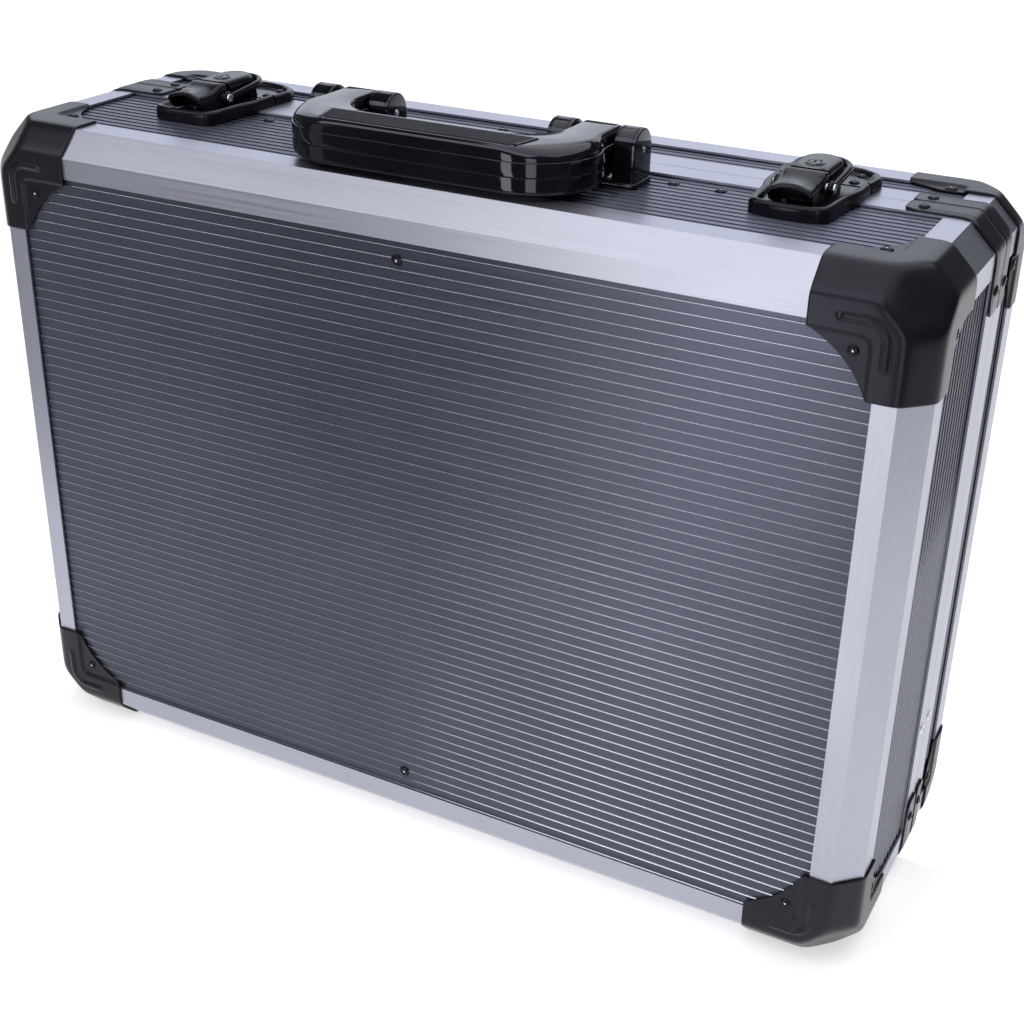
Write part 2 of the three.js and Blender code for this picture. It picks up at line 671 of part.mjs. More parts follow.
function handleBody() {
  const sideShape = [
    [y(HANDLE_FRONT), up(4.6)],
    ...arc(y(HANDLE_FRONT + 3), up(4.6), 3, 180, 270, 4),
    [y(44), up(1.6)],
    ...arc(armY, armZ, ARM_END, -110, 90, 14),
    [y(46), up(22)],
    [y(HANDLE_FRONT + 4.5), up(22)],
    ...arc(y(HANDLE_FRONT + 4.5), up(17.5), 4.5, 90, 180, 4),
  ];
  const corner = 23;
  const outer = [
    [ARM_OUTER, y(90)],
    [ARM_OUTER, y(56)],
    [HANDLE_HALF, y(HANDLE_FRONT + corner)],
    ...arc(HANDLE_HALF - corner, y(HANDLE_FRONT + corner), corner, 0, -90, 10),
  ].reverse();
  const shape = [...outer, ...mirror(outer)];
  const gapCorner = 8;
  const inner = [
    ...arc(ARM_INNER - gapCorner, y(GRIP_REAR + gapCorner), gapCorner, -90, 0, 5),
    [ARM_INNER, y(95)],
  ];
  const gap = [...inner, ...mirror(inner)];
  const body = alongX(sideShape, -80, 80).intersect(alongZ(shape, up(-2), up(40)));
  return body.subtract(alongZ(gap, up(-5), up(45)));
}

const handle = handleBody();
const splitHigh = up(HANDLE_SPLIT + GAP / 2);
const splitLow = up(HANDLE_SPLIT - GAP / 2);
const insertOutline = (grow) => [
  [-INSERT.frontHalf - grow, y(INSERT.front - grow)],
  [INSERT.frontHalf + grow, y(INSERT.front - grow)],
  [INSERT.rearHalf + grow, y(INSERT.rear + grow)],
  [-INSERT.rearHalf - grow, y(INSERT.rear + grow)],
];
let upper = handle.subtract(box(-99, 99, y(0), y(99), up(-9), splitHigh));
upper = upper.subtract(alongZ(insertOutline(GAP), up(20), up(30)));
upper = upper.subtract(rodX(HANDLE_PIN.depth, armZ, HANDLE_PIN.radius + 0.3, -90, 90));
add('handle_upper', upper, finish.gloss);
add('handle_lower', handle.subtract(box(-99, 99, y(0), y(99), splitLow, up(50))), finish.gloss);
add('handle_insert', alongZ(insertOutline(0), up(20 + GAP), up(22.1)), finish.insert);

for (const side of [-1, 1]) {
  const span = (a, b) => [side * a, side * b].sort((m, n) => m - n);
  const lug = [[y(59), up(1)], [y(77), up(1)], ...arc(armY, armZ, ARM_END, 0, 180, 12)];
  const foot = [
    [y(56.5), up(-1)],
    [y(79.5), up(-1)],
    [y(79.5), up(1)],
    [y(77), up(3)],
    [y(59), up(3)],
    [y(56.5), up(1)],
  ];
  const bracket = union(
    alongX(foot, ...span(LUG.inner - 1.5, LUG.outer + 1.5)),
    alongX(lug, ...span(LUG.inner, LUG.innerEnd)),
    alongX(lug, ...span(LUG.outerStart, LUG.outer)),
    rodX(HANDLE_PIN.depth, armZ, HANDLE_PIN.radius, ...span(LUG.inner - 0.6, LUG.outer - 3)),
  );
  add(`handle_bracket_${names[side]}`, bracket, finish.gloss);
}

// ---- Hinges -------------------------------------------------------------

function hinge(side) {
  const x0 = side * HINGE_X;
  const name = names[side];
  const segments = 5;
  const pitch = (2 * HINGE_HALF) / segments;
  const leaf = (sign) => {
    const ys = [y(PARTING) + sign * 1.4, y(PARTING) + sign * 22].sort((a, b) => a - b);
    let plate = box(x0 - HINGE_HALF, x0 + HINGE_HALF, ...ys, BOTTOM - 0.9, BOTTOM - GAP);
    for (let i = 0; i < segments; i += 1) {
      if ((i % 2 === 0) === sign < 0) {
        const ends = [x0 - HINGE_HALF + i * pitch + 0.15, x0 - HINGE_HALF + (i + 1) * pitch - 0.15];
        const web = [y(PARTING), y(PARTING) + sign * 1.6].sort((a, b) => a - b);
        plate = plate.add(box(...ends, ...web, BOTTOM - 0.9, BOTTOM - GAP));
        plate = plate.add(rodX(PARTING, BOTTOM, KNUCKLE_RADIUS, ...ends, 14));
      }
    }
    return plate.subtract(rodX(PARTING, BOTTOM, HINGE_PIN_RADIUS + 0.1, x0 - 40, x0 + 40, 14));
  };
  add(`hinge_leaf_base_${name}`, leaf(-1), finish.black);
  add(`hinge_leaf_lid_${name}`, leaf(1), finish.black);
  const pin = rodX(PARTING, BOTTOM, HINGE_PIN_RADIUS, x0 - HINGE_HALF, x0 + HINGE_HALF, 12);
  add(`hinge_pin_${name}`, pin, finish.steel);
}
hinge(-1);
hinge(1);

// ---- Lid stays: two links each, folded up beside the lining --------------

const stayZ = BOTTOM + STAY_HEIGHT;
const halfSpan = (STAY_LID_DEPTH - STAY_BASE_DEPTH) / 2;
const knee = {
  depth: (STAY_BASE_DEPTH + STAY_LID_DEPTH) / 2,
  z: stayZ + Math.sqrt(STAY_LENGTH ** 2 - halfSpan ** 2),
};

function link(fromDepth, fromZ, toDepth, toZ, x0, x1) {
  const length = Math.hypot(toDepth - fromDepth, toZ - fromZ);
  const half = STAY_WIDTH / 2;
  const points = [...arc(0, 0, half, 90, 270, 8), ...arc(length, 0, half, -90, 90, 8)];
  const angle = Math.atan2(toZ - fromZ, toDepth - fromDepth);
  const placed = points.map(([a, b]) => [
    y(fromDepth) + a * Math.cos(angle) - b * Math.sin(angle),
    fromZ + a * Math.sin(angle) + b * Math.cos(angle),
  ]);
  return alongX(placed, x0, x1);
}

for (const side of [-1, 1]) {
  const span = (a, b) => [side * (WIDTH / 2 - a), side * (WIDTH / 2 - b)].sort((m, n) => m - n);
  let baseLink = link(STAY_BASE_DEPTH, stayZ, knee.depth, knee.z, ...span(12.6, 14));
  baseLink = baseLink.subtract(rodX(STAY_BASE_DEPTH, stayZ, STAY_PIN + 0.25, ...span(9, 20), 12));
  baseLink = baseLink.add(rodX(knee.depth, knee.z, STAY_PIN, ...span(9.6, 13), 12));
  let lidLink = link(knee.depth, knee.z, STAY_LID_DEPTH, stayZ, ...span(10.4, 11.8));
  lidLink = lidLink.subtract(rodX(knee.depth, knee.z, STAY_PIN + 0.25, ...span(8, 20), 12));
  add(`stay_link_base_${names[side]}`, baseLink, finish.steel);
  add(`stay_link_lid_${names[side]}`, lidLink, finish.steel);
}

export default group;
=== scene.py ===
import cmath
import math

import bmesh
import bpy
import numpy as np
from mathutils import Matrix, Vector
from mathutils.geometry import tessellate_polygon

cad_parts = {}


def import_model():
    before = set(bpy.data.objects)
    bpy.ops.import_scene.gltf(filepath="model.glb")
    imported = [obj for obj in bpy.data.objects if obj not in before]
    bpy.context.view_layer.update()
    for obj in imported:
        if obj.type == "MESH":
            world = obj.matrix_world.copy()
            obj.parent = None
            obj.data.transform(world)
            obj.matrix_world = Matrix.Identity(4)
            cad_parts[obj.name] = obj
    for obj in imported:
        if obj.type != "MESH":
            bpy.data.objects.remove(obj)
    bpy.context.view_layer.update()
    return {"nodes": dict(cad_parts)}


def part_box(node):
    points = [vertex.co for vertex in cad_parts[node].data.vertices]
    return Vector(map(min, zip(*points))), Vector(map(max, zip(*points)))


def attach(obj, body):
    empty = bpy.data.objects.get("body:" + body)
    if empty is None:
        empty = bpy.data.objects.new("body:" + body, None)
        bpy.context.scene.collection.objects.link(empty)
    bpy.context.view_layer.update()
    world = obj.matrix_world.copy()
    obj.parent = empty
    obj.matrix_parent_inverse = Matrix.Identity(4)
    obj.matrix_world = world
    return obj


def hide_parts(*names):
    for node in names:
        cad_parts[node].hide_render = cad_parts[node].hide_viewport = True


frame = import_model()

nodes = frame["nodes"]

# Sizes are in millimetres, with x from the middle, depth from the case's front plane
# and height above its top plane, or as insets from the nearest end, front and top.
MM = 0.001
WIDTH = (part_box("base_edge_frame")[1].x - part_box("base_edge_frame")[0].x) / MM
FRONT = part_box("base_edge_frame")[0].y / MM
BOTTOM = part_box("base_edge_frame")[0].z / MM
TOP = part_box("base_edge_frame")[1].z / MM
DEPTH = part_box("lid_edge_frame")[1].y / MM - FRONT
HEIGHT = TOP - BOTTOM
MIDDLE = (TOP + BOTTOM) / 2
EDGE_LEG = 11.3  # legs of the facets along the front and rear edges
POST_LEG = 11.2  # legs of the facets along the corner posts
CORNER_SUM = 33.2  # a corner's own facet, by the sum of its three insets
PARTING = 99.5
BOARD_FACE = 1.3  # inset of the ribs' tops from the frame's faces
BOARD = 4.2  # thickness of a board
PROUD = 1.2  # how far the protectors and the clips stand out
SHELLS = ("base", "lid")
SIDES = ((-1, "left"), (1, "right"))
LEVELS = ((-1, "bottom"), (1, "top"))
CORNERS = [(sx, side, sz, level) for sx, side in SIDES for sz, level in LEVELS]


def place(x, depth, height):
    """A point of the case, in millimetres of the frame."""
    return (x, FRONT + depth, TOP + height)


def from_corner(sx, sz, a, h):
    """(x, z) of a point that is a in from a corner's end and h in from its top or bottom."""
    return sx * (WIDTH / 2 - a), TOP - h if sz > 0 else BOTTOM + h


# ---- Mesh helpers ----


def new_object(name, data):
    obj = bpy.data.objects.new(name, data)
    bpy.context.scene.collection.objects.link(obj)
    return obj


def piece(name, shape, body, material, replaces=(), sharp=30.0):
    """Makes a shape into a mesh that rides a body. Edges over the sharp angle stay crisp."""
    mesh = bpy.data.meshes.new(name)
    mesh.from_pydata([(x * MM, y * MM, z * MM) for x, y, z in shape.verts], [], shape.faces)
    mesh.validate()
    work = bmesh.new()
    work.from_mesh(mesh)
    bmesh.ops.remove_doubles(work, verts=work.verts, dist=1e-6)
    bmesh.ops.recalc_face_normals(work, faces=work.faces)
    work.to_mesh(mesh)
    work.free()
    mesh.shade_smooth()
    mesh.set_sharp_from_angle(angle=math.radians(sharp))
    obj = new_object(name, mesh)
    obj.data.materials.append(material)
    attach(obj, body)
    if replaces:
        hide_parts(*replaces)
    return obj


class Shape:
    """Vertices and faces gathered before they become one piece."""

    def __init__(self):
        self.verts = []
        self.faces = []

    def add(self, verts, faces):
        start = len(self.verts)
        self.verts.extend(tuple(v) for v in verts)
        self.faces.extend(tuple(start + i for i in face) for face in faces)
        return self

    def loft(self, rings, closed=True, caps=True, loop=False):
        """Joins rings of points; closed rings, capped ends, or a loop of rings."""
        count = len(rings[0])
        verts = [v for ring in rings for v in ring]
        faces = []
        for r in range(len(rings) if loop else len(rings) - 1):
            a, b = r * count, ((r + 1) % len(rings)) * count
            for i in range(count if closed else count - 1):
                j = (i + 1) % count
                faces.append((a + i, a + j, b + j, b + i))
        if caps and not loop:
            faces.append(tuple(range(count)))
            faces.append(tuple(range((len(rings) - 1) * count, len(rings) * count)))
        return self.add(verts, faces)


def arc(cx, cy, radius, start, end, steps):
    """Points of an arc from start to end, in degrees."""
    angles = [math.radians(start + (end - start) * i / steps) for i in range(steps + 1)]
    return [(cx + radius * math.cos(a), cy + radius * math.sin(a)) for a in angles]


def rounded_path(points, radius, steps=4, closed=False):
    """A path whose corners are rounded, each by up to the radius."""
    count = len(points)
    made = []
    for i, point in enumerate(points):
        if not closed and i in (0, count - 1):
            made.append(tuple(point))
            continue
        here = Vector(point)
        back = Vector(points[i - 1]) - here
        ahead = Vector(points[(i + 1) % count]) - here
        reach_back = min(radius, back.length * 0.45)
        reach_ahead = min(radius, ahead.length * 0.45)
        start = here + back.normalized() * reach_back
        end = here + ahead.normalized() * reach_ahead
        for k in range(steps + 1):
            t = k / steps
            made.append(tuple(start * (1 - t) ** 2 + here * (2 * t * (1 - t)) + end * t ** 2))
    return made


def mitres(points, closed=True):
    """For each point of a plan path, the step that moves it 1 mm to the path's left."""
    count = len(points)
    steps = []
    for i in range(count):
        here = Vector(points[i][:2])
        before = Vector(points[i - 1][:2]) if closed or i else here
        after = Vector(points[(i + 1) % count][:2]) if closed or i < count - 1 else here
        into, out = (here - before), (after - here)
        into = into.normalized() if into.length else out.normalized()
        out = out.normalized() if out.length else into
        n1, n2 = Vector((-into.y, into.x)), Vector((-out.y, out.x))
        steps.append((n1 + n2) / max(0.35, 1 + n1.dot(n2)))
    return steps


def inset_outline(points, distance, closed=True):
    """A counterclockwise outline moved inwards."""
    return [(p[0] + m.x * distance, p[1] + m.y * distance) for p, m in zip(points, mitres(points, closed))]


def circle(radius, steps):
    """Points round a circle about the origin."""
    angles = [2 * math.pi * k / steps for k in range(steps)]
    return [(radius * math.cos(a), radius * math.sin(a)) for a in angles]


def rounding(low, high, radius, steps=4):
    """(position, inset) along a bar from low to high whose two ends are rounded over."""
    turn = [math.radians(90 * k / steps) for k in range(steps + 1)]
    start = [(low + radius * (1 - math.cos(a)), radius * (1 - math.sin(a))) for a in turn]
    return start + [(high - (p - low), i) for p, i in reversed(start)]


def slab_x(shape, outline, levels):
    """A bar along x from a (depth, height) outline and its (x, inset) levels."""
    return shape.loft([[place(x, d, h) for d, h in inset_outline(outline, inset)] for x, inset in levels])


def slab_z(shape, outline, levels):
    """A plate from an (x, depth) outline and its (height, inset) levels."""
    return shape.loft([[place(x, d, height) for x, d in inset_outline(outline, inset)]
                       for height, inset in levels])


def rail(shape, path, section, closed=False):
    """Sweeps a section of (inset, rise) pairs along a path of (x, depth, height)."""
    rings = []
    for (x, depth, height), step in zip(path, mitres(path, closed)):
        rings.append([place(x + step.x * a, depth + step.y * a, height + b) for a, b in section])
    return shape.loft(rings, loop=closed)


def turned_x(shape, depth, height, profile, steps=24):
    """A turned part on an axis along x, from (x, radius) pairs."""
    return shape.loft([[place(x, depth + d, height + h) for d, h in circle(radius, steps)]
                       for x, radius in profile])


def turned_z(shape, x, depth, profile, steps=28, caps=True):
    """A turned part on an upright axis, from (height, radius) pairs."""
    rings = [[place(x + a, depth + d, height) for a, d in circle(radius, steps)]
             for height, radius in profile]
    return shape.loft(rings, caps=caps)


def holed_face(shape, outer, hole):
    """The flat face between an outer loop of points and a hole in it."""
    loops = [[Vector(p) for p in outer], [Vector(p) for p in hole]]
    return shape.add(list(outer) + list(hole), tessellate_polygon(loops))


def soften(obj, width, dissolve=True):
    """Rounds a piece's edges; flat faces are merged first, so that only real edges round."""
    if dissolve:
        merge = obj.modifiers.new("flat", "DECIMATE")
        merge.decimate_type = "DISSOLVE"
        merge.angle_limit = math.radians(0.5)
    bevel = obj.modifiers.new("edges", "BEVEL")
    bevel.width = width * MM
    bevel.segments = 2
    bevel.limit_method = "ANGLE"
    bevel.angle_limit = math.radians(25)
    bevel.use_clamp_overlap = True
    bevel.harden_normals = True
    bevel.miter_outer = "MITER_ARC"


def cad_finish(name, material, width=0.0):
    """A CAD node that stays, with its own finish and softened edges."""
    obj = nodes[name]
    for slot in obj.material_slots:
        slot.material = material
    if width:
        soften(obj, width)


# ---- Materials ----


class Nodes:
    """A material under construction, in the object's own coordinates."""

    def __init__(self, name):
        self.material = bpy.data.materials.new(name)
        self.material.use_nodes = True
        self.tree = self.material.node_tree
        self.shader = self.tree.nodes["Principled BSDF"]
        self.where = self.tree.nodes.new("ShaderNodeTexCoord").outputs["Object"]

    def set(self, **values):
        """Gives the shader's sockets numbers, colours or what another node makes."""
        for key, value in values.items():
            self.feed(self.shader.inputs[key.replace("_", " ")], value)
        return self

    def node(self, kind, **inputs):
        made = self.tree.nodes.new("ShaderNode" + kind)
        for key, value in inputs.items():
            self.feed(made.inputs[key.replace("_", " ")], value)
        return made

    def feed(self, socket, value):
        if isinstance(value, bpy.types.NodeSocket):
            self.tree.links.new(value, socket)
        else:
            socket.default_value = value

    def math(self, operation, *values):
        made = self.node("Math")
        made.operation = operation
        for socket, value in zip(made.inputs, values):
            self.feed(socket, value)
        return made.outputs[0]

    def noise(self, scale, detail, roughness=0.5):
        """Noise at one scale, or at one for each axis."""
        scale = scale if isinstance(scale, tuple) else (scale, scale, scale)
        where = self.node("Mapping", Vector=self.where, Scale=scale).outputs[0]
        made = self.node("TexNoise", Vector=where, Scale=1.0, Detail=detail, Roughness=roughness)
        return made.outputs["Fac"]

    def ramp(self, value, low, high, a, b):
        """Value from low to high, mapped to colour or number a to b."""
        made = self.node("MapRange", Value=value, From_Min=low, From_Max=high)
        if isinstance(a, tuple):
            return self.mix(made.outputs["Result"], a, b)
        made.inputs["To Min"].default_value = a
        made.inputs["To Max"].default_value = b
        return made.outputs["Result"]

    def mix(self, factor, a, b):
        made = self.node("Mix")
        made.data_type = "RGBA"
        self.feed(made.inputs["Factor"], factor)
        for socket, colour in zip(made.inputs[6:8], (a, b)):
            self.feed(socket, (*colour, 1.0) if isinstance(colour, tuple) else colour)
        return made.outputs[2]

    def bump(self, height, strength, distance_mm):
        made = self.node("Bump", Height=height, Strength=strength, Distance=distance_mm * MM)
        return self.set(Normal=made.outputs[0])


def brushed_aluminium():
    """Satin aluminium, brushed along each bar."""
    made = Nodes("brushed_aluminium").set(Metallic=1.0)
    split = made.node("SeparateXYZ", Vector=made.where)
    # Bars along X near the top and bottom, bars along Z near the ends, by the mitre
    off_middle = made.math("ABSOLUTE", made.math("SUBTRACT", split.outputs["Z"], MIDDLE * MM))
    inset_z = made.math("SUBTRACT", HEIGHT / 2 * MM, off_middle)
    inset_x = made.math("SUBTRACT", WIDTH / 2 * MM, made.math("ABSOLUTE", split.outputs["X"]))
    across = made.math("LESS_THAN", inset_z, inset_x)
    lengthways = made.noise((6, 1500, 1500), 4.0, 0.65)
    upright = made.noise((1500, 1500, 6), 4.0, 0.65)
    grain = made.math("ADD", made.math("MULTIPLY", lengthways, across),
                      made.math("MULTIPLY", upright, made.math("SUBTRACT", 1.0, across)))
    cloud = made.noise(9, 2.0)
    tone = made.math("ADD", made.math("MULTIPLY", grain, 0.6), made.math("MULTIPLY", cloud, 0.4))
    made.set(Base_Color=made.ramp(tone, 0.3, 0.7, (0.37, 0.375, 0.445), (0.47, 0.475, 0.555)))
    made.set(Roughness=made.ramp(grain, 0.25, 0.75, 0.30, 0.46))
    return made.bump(grain, 0.12, 0.05).material


RIB_EDGE = "rib_edge"  # the vertex attribute that marks each rib's steep edge, where the finish paints its highlight and shade lines
RIB_TONES = ((0.061, 0.065, 0.093), (0.080, 0.085, 0.119))


def ribbed_finish(name, axis, painted_edge_light_and_shade, lift=1.0, upright_normal=False):
    """Metallic grey facing, with a fine drawn grain along the ribs and a painted line on each rib's steep
    edge: a painted highlight where the edge colour is lighter than the facing, a painted shade line where it
    is darker. A lift above 1 lightens the whole facing as painted light, and a lift below 1 darkens it as
    painted shade, for how the light falls on that side.
    """
    made = Nodes(name).set(IOR=1.5)
    grain = made.noise(tuple(8 if k == axis else 1200 for k in range(3)), 3.0, 0.6)
    cloud = made.noise(14, 3.0)
    tone = made.math("ADD", made.math("MULTIPLY", grain, 0.5), made.math("MULTIPLY", cloud, 0.5))
    marked = made.node("Attribute")
    marked.attribute_name = RIB_EDGE
    edge = marked.outputs["Fac"]
    # The steep edges take the edge colour: a painted highlight line where it is lighter than the facing, a
    # painted shade line where it is darker. lift scales the facing's tones as painted light and shade for
    # that side.
    plain = made.ramp(tone, 0.3, 0.7, *[tuple(c * lift for c in colour) for colour in RIB_TONES])
    made.set(Base_Color=made.mix(edge, plain, painted_edge_light_and_shade))
    made.set(Metallic=made.math("ADD", 0.75, made.math("MULTIPLY", edge, 0.25)))
    gloss = made.math("SUBTRACT", 1.0, made.math("MULTIPLY", edge, 0.55))
    made.set(Roughness=made.math("MULTIPLY", made.ramp(grain, 0.25, 0.75, 0.30, 0.42), gloss))
    # Brushed along the ribs, so highlights spread across them
    direction = made.node("Tangent")
    direction.direction_type = "RADIAL"
    direction.axis = "Z" if upright_normal else "Y"
    made.set(Tangent=direction.outputs[0], Anisotropic=0.8, Anisotropic_Rotation=0.25)
    return made.bump(grain, 0.08, 0.04).material


def coated_black(name, colour, rough, grain_mm, strength, specular=0.5):
    """Black paint or powder coat: a fine orange peel, dust-grey variation and worn gloss."""
    made = Nodes(name).set(Metallic=0.0, IOR=1.5, Specular_IOR_Level=specular)
    made.set(Specular_Tint=(0.76, 0.77, 0.94, 1.0))
    peel = made.noise(1 / (grain_mm * MM), 2.0)
    cloud = made.noise(30, 4.0)
    lighter = tuple(c * 1.35 + 0.002 for c in colour)
    made.set(Base_Color=made.ramp(cloud, 0.3, 0.7, colour, lighter))
    made.set(Roughness=made.ramp(cloud, 0.25, 0.75, rough * 0.88, rough * 1.12))
    return made.bump(peel, strength, 0.08).material


def plated_steel(name, tone, rough):
    """Plated metal, with patches that differ a little in tone and gloss."""
    made = Nodes(name).set(Metallic=1.0)
    cloud = made.noise(90, 4.0)
    dull, clean = (tone * 0.9, tone * 0.9, tone * 0.93), (tone, tone, tone * 1.02)
    made.set(Base_Color=made.ramp(cloud, 0.3, 0.7, dull, clean))
    made.set(Roughness=made.ramp(cloud, 0.3, 0.7, rough * 0.8, rough * 1.25))
    return made.bump(cloud, 0.05, 0.05).material


def foam_fabric():
    """Dark woven fabric with a soft fuzz."""
    made = Nodes("foam_fabric").set(IOR=1.45, Sheen_Weight=0.35, Sheen_Roughness=0.5)
    weave = made.node("TexVoronoi", Vector=made.where, Scale=1.6 / MM)
    fuzz = made.noise(0.8 / MM, 5.0, 0.7)
    height = made.math("ADD", weave.outputs["Distance"], made.math("MULTIPLY", fuzz, 0.8))
    made.set(Base_Color=made.ramp(fuzz, 0.3, 0.7, (0.018, 0.018, 0.021), (0.045, 0.045, 0.05)))
    made.set(Roughness=made.ramp(fuzz, 0.3, 0.7, 0.85, 1.0))
    return made.bump(height, 0.5, 0.25).material


ALUMINIUM = brushed_aluminium()
# One ribbed facing in three copies that differ only in painted light: the faces with painted highlight lines
# on the steep edges; the long top and bottom walls at twice the tone as painted top light, with painted shade
# lines; the upright walls a little darker as painted shade, with painted highlight lines.
BOARD_FACES = ribbed_finish("ribbed_board_face", 0, (0.50, 0.51, 0.57), upright_normal=True)
BOARD_X = ribbed_finish("ribbed_board_long", 0, (0.065, 0.067, 0.085), 2.0)
BOARD_Z = ribbed_finish("ribbed_board_upright", 2, (0.20, 0.205, 0.235), 0.85)
BLACK = coated_black("satin_black_steel", (0.0045, 0.0045, 0.0062), 0.31, 0.5, 0.10, 0.30)
LATCH = coated_black("gloss_black_steel", (0.004, 0.004, 0.006), 0.2, 0.8, 0.05, 0.22)
GLOSS = coated_black("gloss_black_plastic", (0.0025, 0.0025, 0.003), 0.07, 3.0, 0.015)
INSERT = coated_black("grip_insert_plastic", (0.007, 0.0065, 0.0085), 0.6, 0.35, 0.35, 0.10)
STEEL = plated_steel("zinc_plated_steel", 0.62, 0.24)
DARK_STEEL = plated_steel("dark_plated_steel", 0.12, 0.25)
LINING = foam_fabric()


# ---- Ribbed boards ----

RIB_PITCH = 5.0
RIB_HEIGHT = 0.42
RIB_STEEP = 0.26  # width of a rib's steep edge
RIB_PROFILE = [(0.0, 0.0), (0.03, 0.05), (0.18, 0.37), (RIB_STEEP, RIB_HEIGHT), (0.4, 0.41), (4.9, 0.01)]
# Where the first rib starts on each kind of board
FACE_PHASE = 1.3
BASE_PHASE = 1.0
LID_PHASE = 2.0
FACE_INSET = 14.0
FACE_CORNER = 4.4  # legs cut off the boards' corners
WALL_INSET = 13.6
WALL_CORNER = 6.8


def rib_profile(start, end, phase):
    """(across, height) of a ribbed face between start and end. Each rib has one steep edge."""
    points = [(start, 0.0)]
    rib = math.floor((start - phase) / RIB_PITCH) * RIB_PITCH + phase
    while rib < end:
        points += [(rib + a, b) for a, b in RIB_PROFILE if start + 0.02 < rib + a < end - 0.02]
        rib += RIB_PITCH
    points.append((end, 0.0))
    return points


def ribbed_board(shape, across, along, map_point, phase, cut):
    """A ribbed board. across and along are (start, end) in its own plane; cut is the
    leg cut off its four corners, and map_point takes (across, along, lift)."""
    profile = rib_profile(*across, phase)
    for edge in (across[0] + cut, across[1] - cut):
        near = min(range(len(profile)), key=lambda i: abs(profile[i][0] - edge))
        profile[near] = (edge, profile[near][1])
    steps = 6
    rings = []
    for u, lift in profile:
        trim = max(0.0, cut - (u - across[0]), cut - (across[1] - u))
        length = along[1] - along[0] - 2 * trim
        row = [along[0] + trim + length * k / steps for k in range(steps + 1)]
        rings.append([map_point(u, v, lift) for v in row] + [map_point(u, v, -BOARD) for v in reversed(row)])
    return shape.loft(rings)


def mark_edges(obj, phase, across):
    """Notes the steep edge of each rib, where the finish paints its highlight and shade lines. across gives a
    vertex's place across the ribs."""
    notes = obj.data.attributes.new(RIB_EDGE, "FLOAT", "POINT")
    for vertex, note in zip(obj.data.vertices, notes.data):
        along_rib = (across(vertex.co) - phase + 0.01) % RIB_PITCH
        note.value = 1.0 if 0.02 < along_rib < RIB_STEEP + 0.03 else 0.0


def down_face(at):
    """A vertex's place across a face's ribs."""
    return MIDDLE - at.z / MM


def back_from_front(at):
    """A vertex's place across a wall's ribs."""
    return at.y / MM - FRONT


def face_board(shell, facing):
    """The ribbed board that fills a shell's face."""
    tall = TOP - FACE_INSET - (BOTTOM + FACE_INSET)
    side = FRONT + BOARD_FACE if facing < 0 else FRONT + DEPTH - BOARD_FACE

    def on_face(u, v, lift):
        return (v, side + facing * (lift - RIB_HEIGHT), MIDDLE - u)

    along = (-WIDTH / 2 + FACE_INSET, WIDTH / 2 - FACE_INSET)
    shape = ribbed_board(Shape(), (-tall / 2, tall / 2), along, on_face, FACE_PHASE, FACE_CORNER)
    obj = piece(f"{shell}_face_ribbed_board", shape, shell, BOARD_FACES,
                [f"{shell}_face_panel"], 20)
    mark_edges(obj, FACE_PHASE, down_face)


face_board("base", -1)
face_board("lid", 1)


def wall_board(shape, wall, d0, d1, phase):
    """A ribbed side wall from depth d0 to d1: top, bottom, left or right."""
    if wall in ("top", "bottom"):
        sign = 1 if wall == "top" else -1
        outer = TOP - BOARD_FACE if sign > 0 else BOTTOM + BOARD_FACE
        along = (-WIDTH / 2 + WALL_INSET, WIDTH / 2 - WALL_INSET)

        def on_wall(u, v, lift):
            return (v, FRONT + u, outer + sign * (lift - RIB_HEIGHT))
    else:
        sign = 1 if wall == "right" else -1
        outer = sign * (WIDTH / 2 - BOARD_FACE)
        along = (BOTTOM + WALL_INSET, TOP - WALL_INSET)

        def on_wall(u, v, lift):
            return (outer + sign * (lift - RIB_HEIGHT), FRONT + u, v)
    return ribbed_board(shape, (d0, d1), along, on_wall, phase, WALL_CORNER)


WALL_START = 14.2
RIM_HALF = 2.8  # from the parting line to the walls on each side
for wall in ("top", "bottom", "left", "right"):
    made = wall_board(Shape(), wall, WALL_START, PARTING - RIM_HALF, BASE_PHASE)
    finish = BOARD_X if wall in ("top", "bottom") else BOARD_Z
    board = piece(f"base_wall_ribbed_{wall}", made, "base", finish, [f"base_wall_{wall}"], 20)
    mark_edges(board, BASE_PHASE, back_from_front)
for walls, finish in ((("top", "bottom"), BOARD_X), (("left", "right"), BOARD_Z)):
    made = Shape()
    for wall in walls:
        wall_board(made, wall, PARTING + RIM_HALF, DEPTH - WALL_START, LID_PHASE)
    name = f"lid_wall_ribbed_{walls[0]}_{walls[1]}"
    board = piece(name, made, "lid", finish, ["lid_wall_band"], 20)
    mark_edges(board, LID_PHASE, back_from_front)


POST_END = POST_LEG + 11.3
POST_WALL = 1.4
POST_INNER = POST_LEG + 0.6
POST_PROFILE = [(POST_END, 0), (POST_LEG, 0), (0, POST_LEG), (0, POST_END), (POST_WALL, POST_END),
                (POST_WALL, POST_INNER), (POST_INNER, POST_WALL), (POST_END, POST_WALL)]
POST_SPAN = (114.6, DEPTH - 25.1)
# The lid's corner posts, a bent strip at each corner
posts = Shape()
for sx, _, sz, _ in CORNERS:
    strip = [from_corner(sx, sz, a, h) for a, h in POST_PROFILE]
    posts.loft([[(x, FRONT + depth, z) for x, z in strip] for depth in POST_SPAN])
post_piece = piece("lid_corner_posts", posts, "lid", ALUMINIUM, ["lid_wall_band"], 20)
soften(post_piece, 0.35, dissolve=False)


# ---- Aluminium extrusions, from the CAD ----

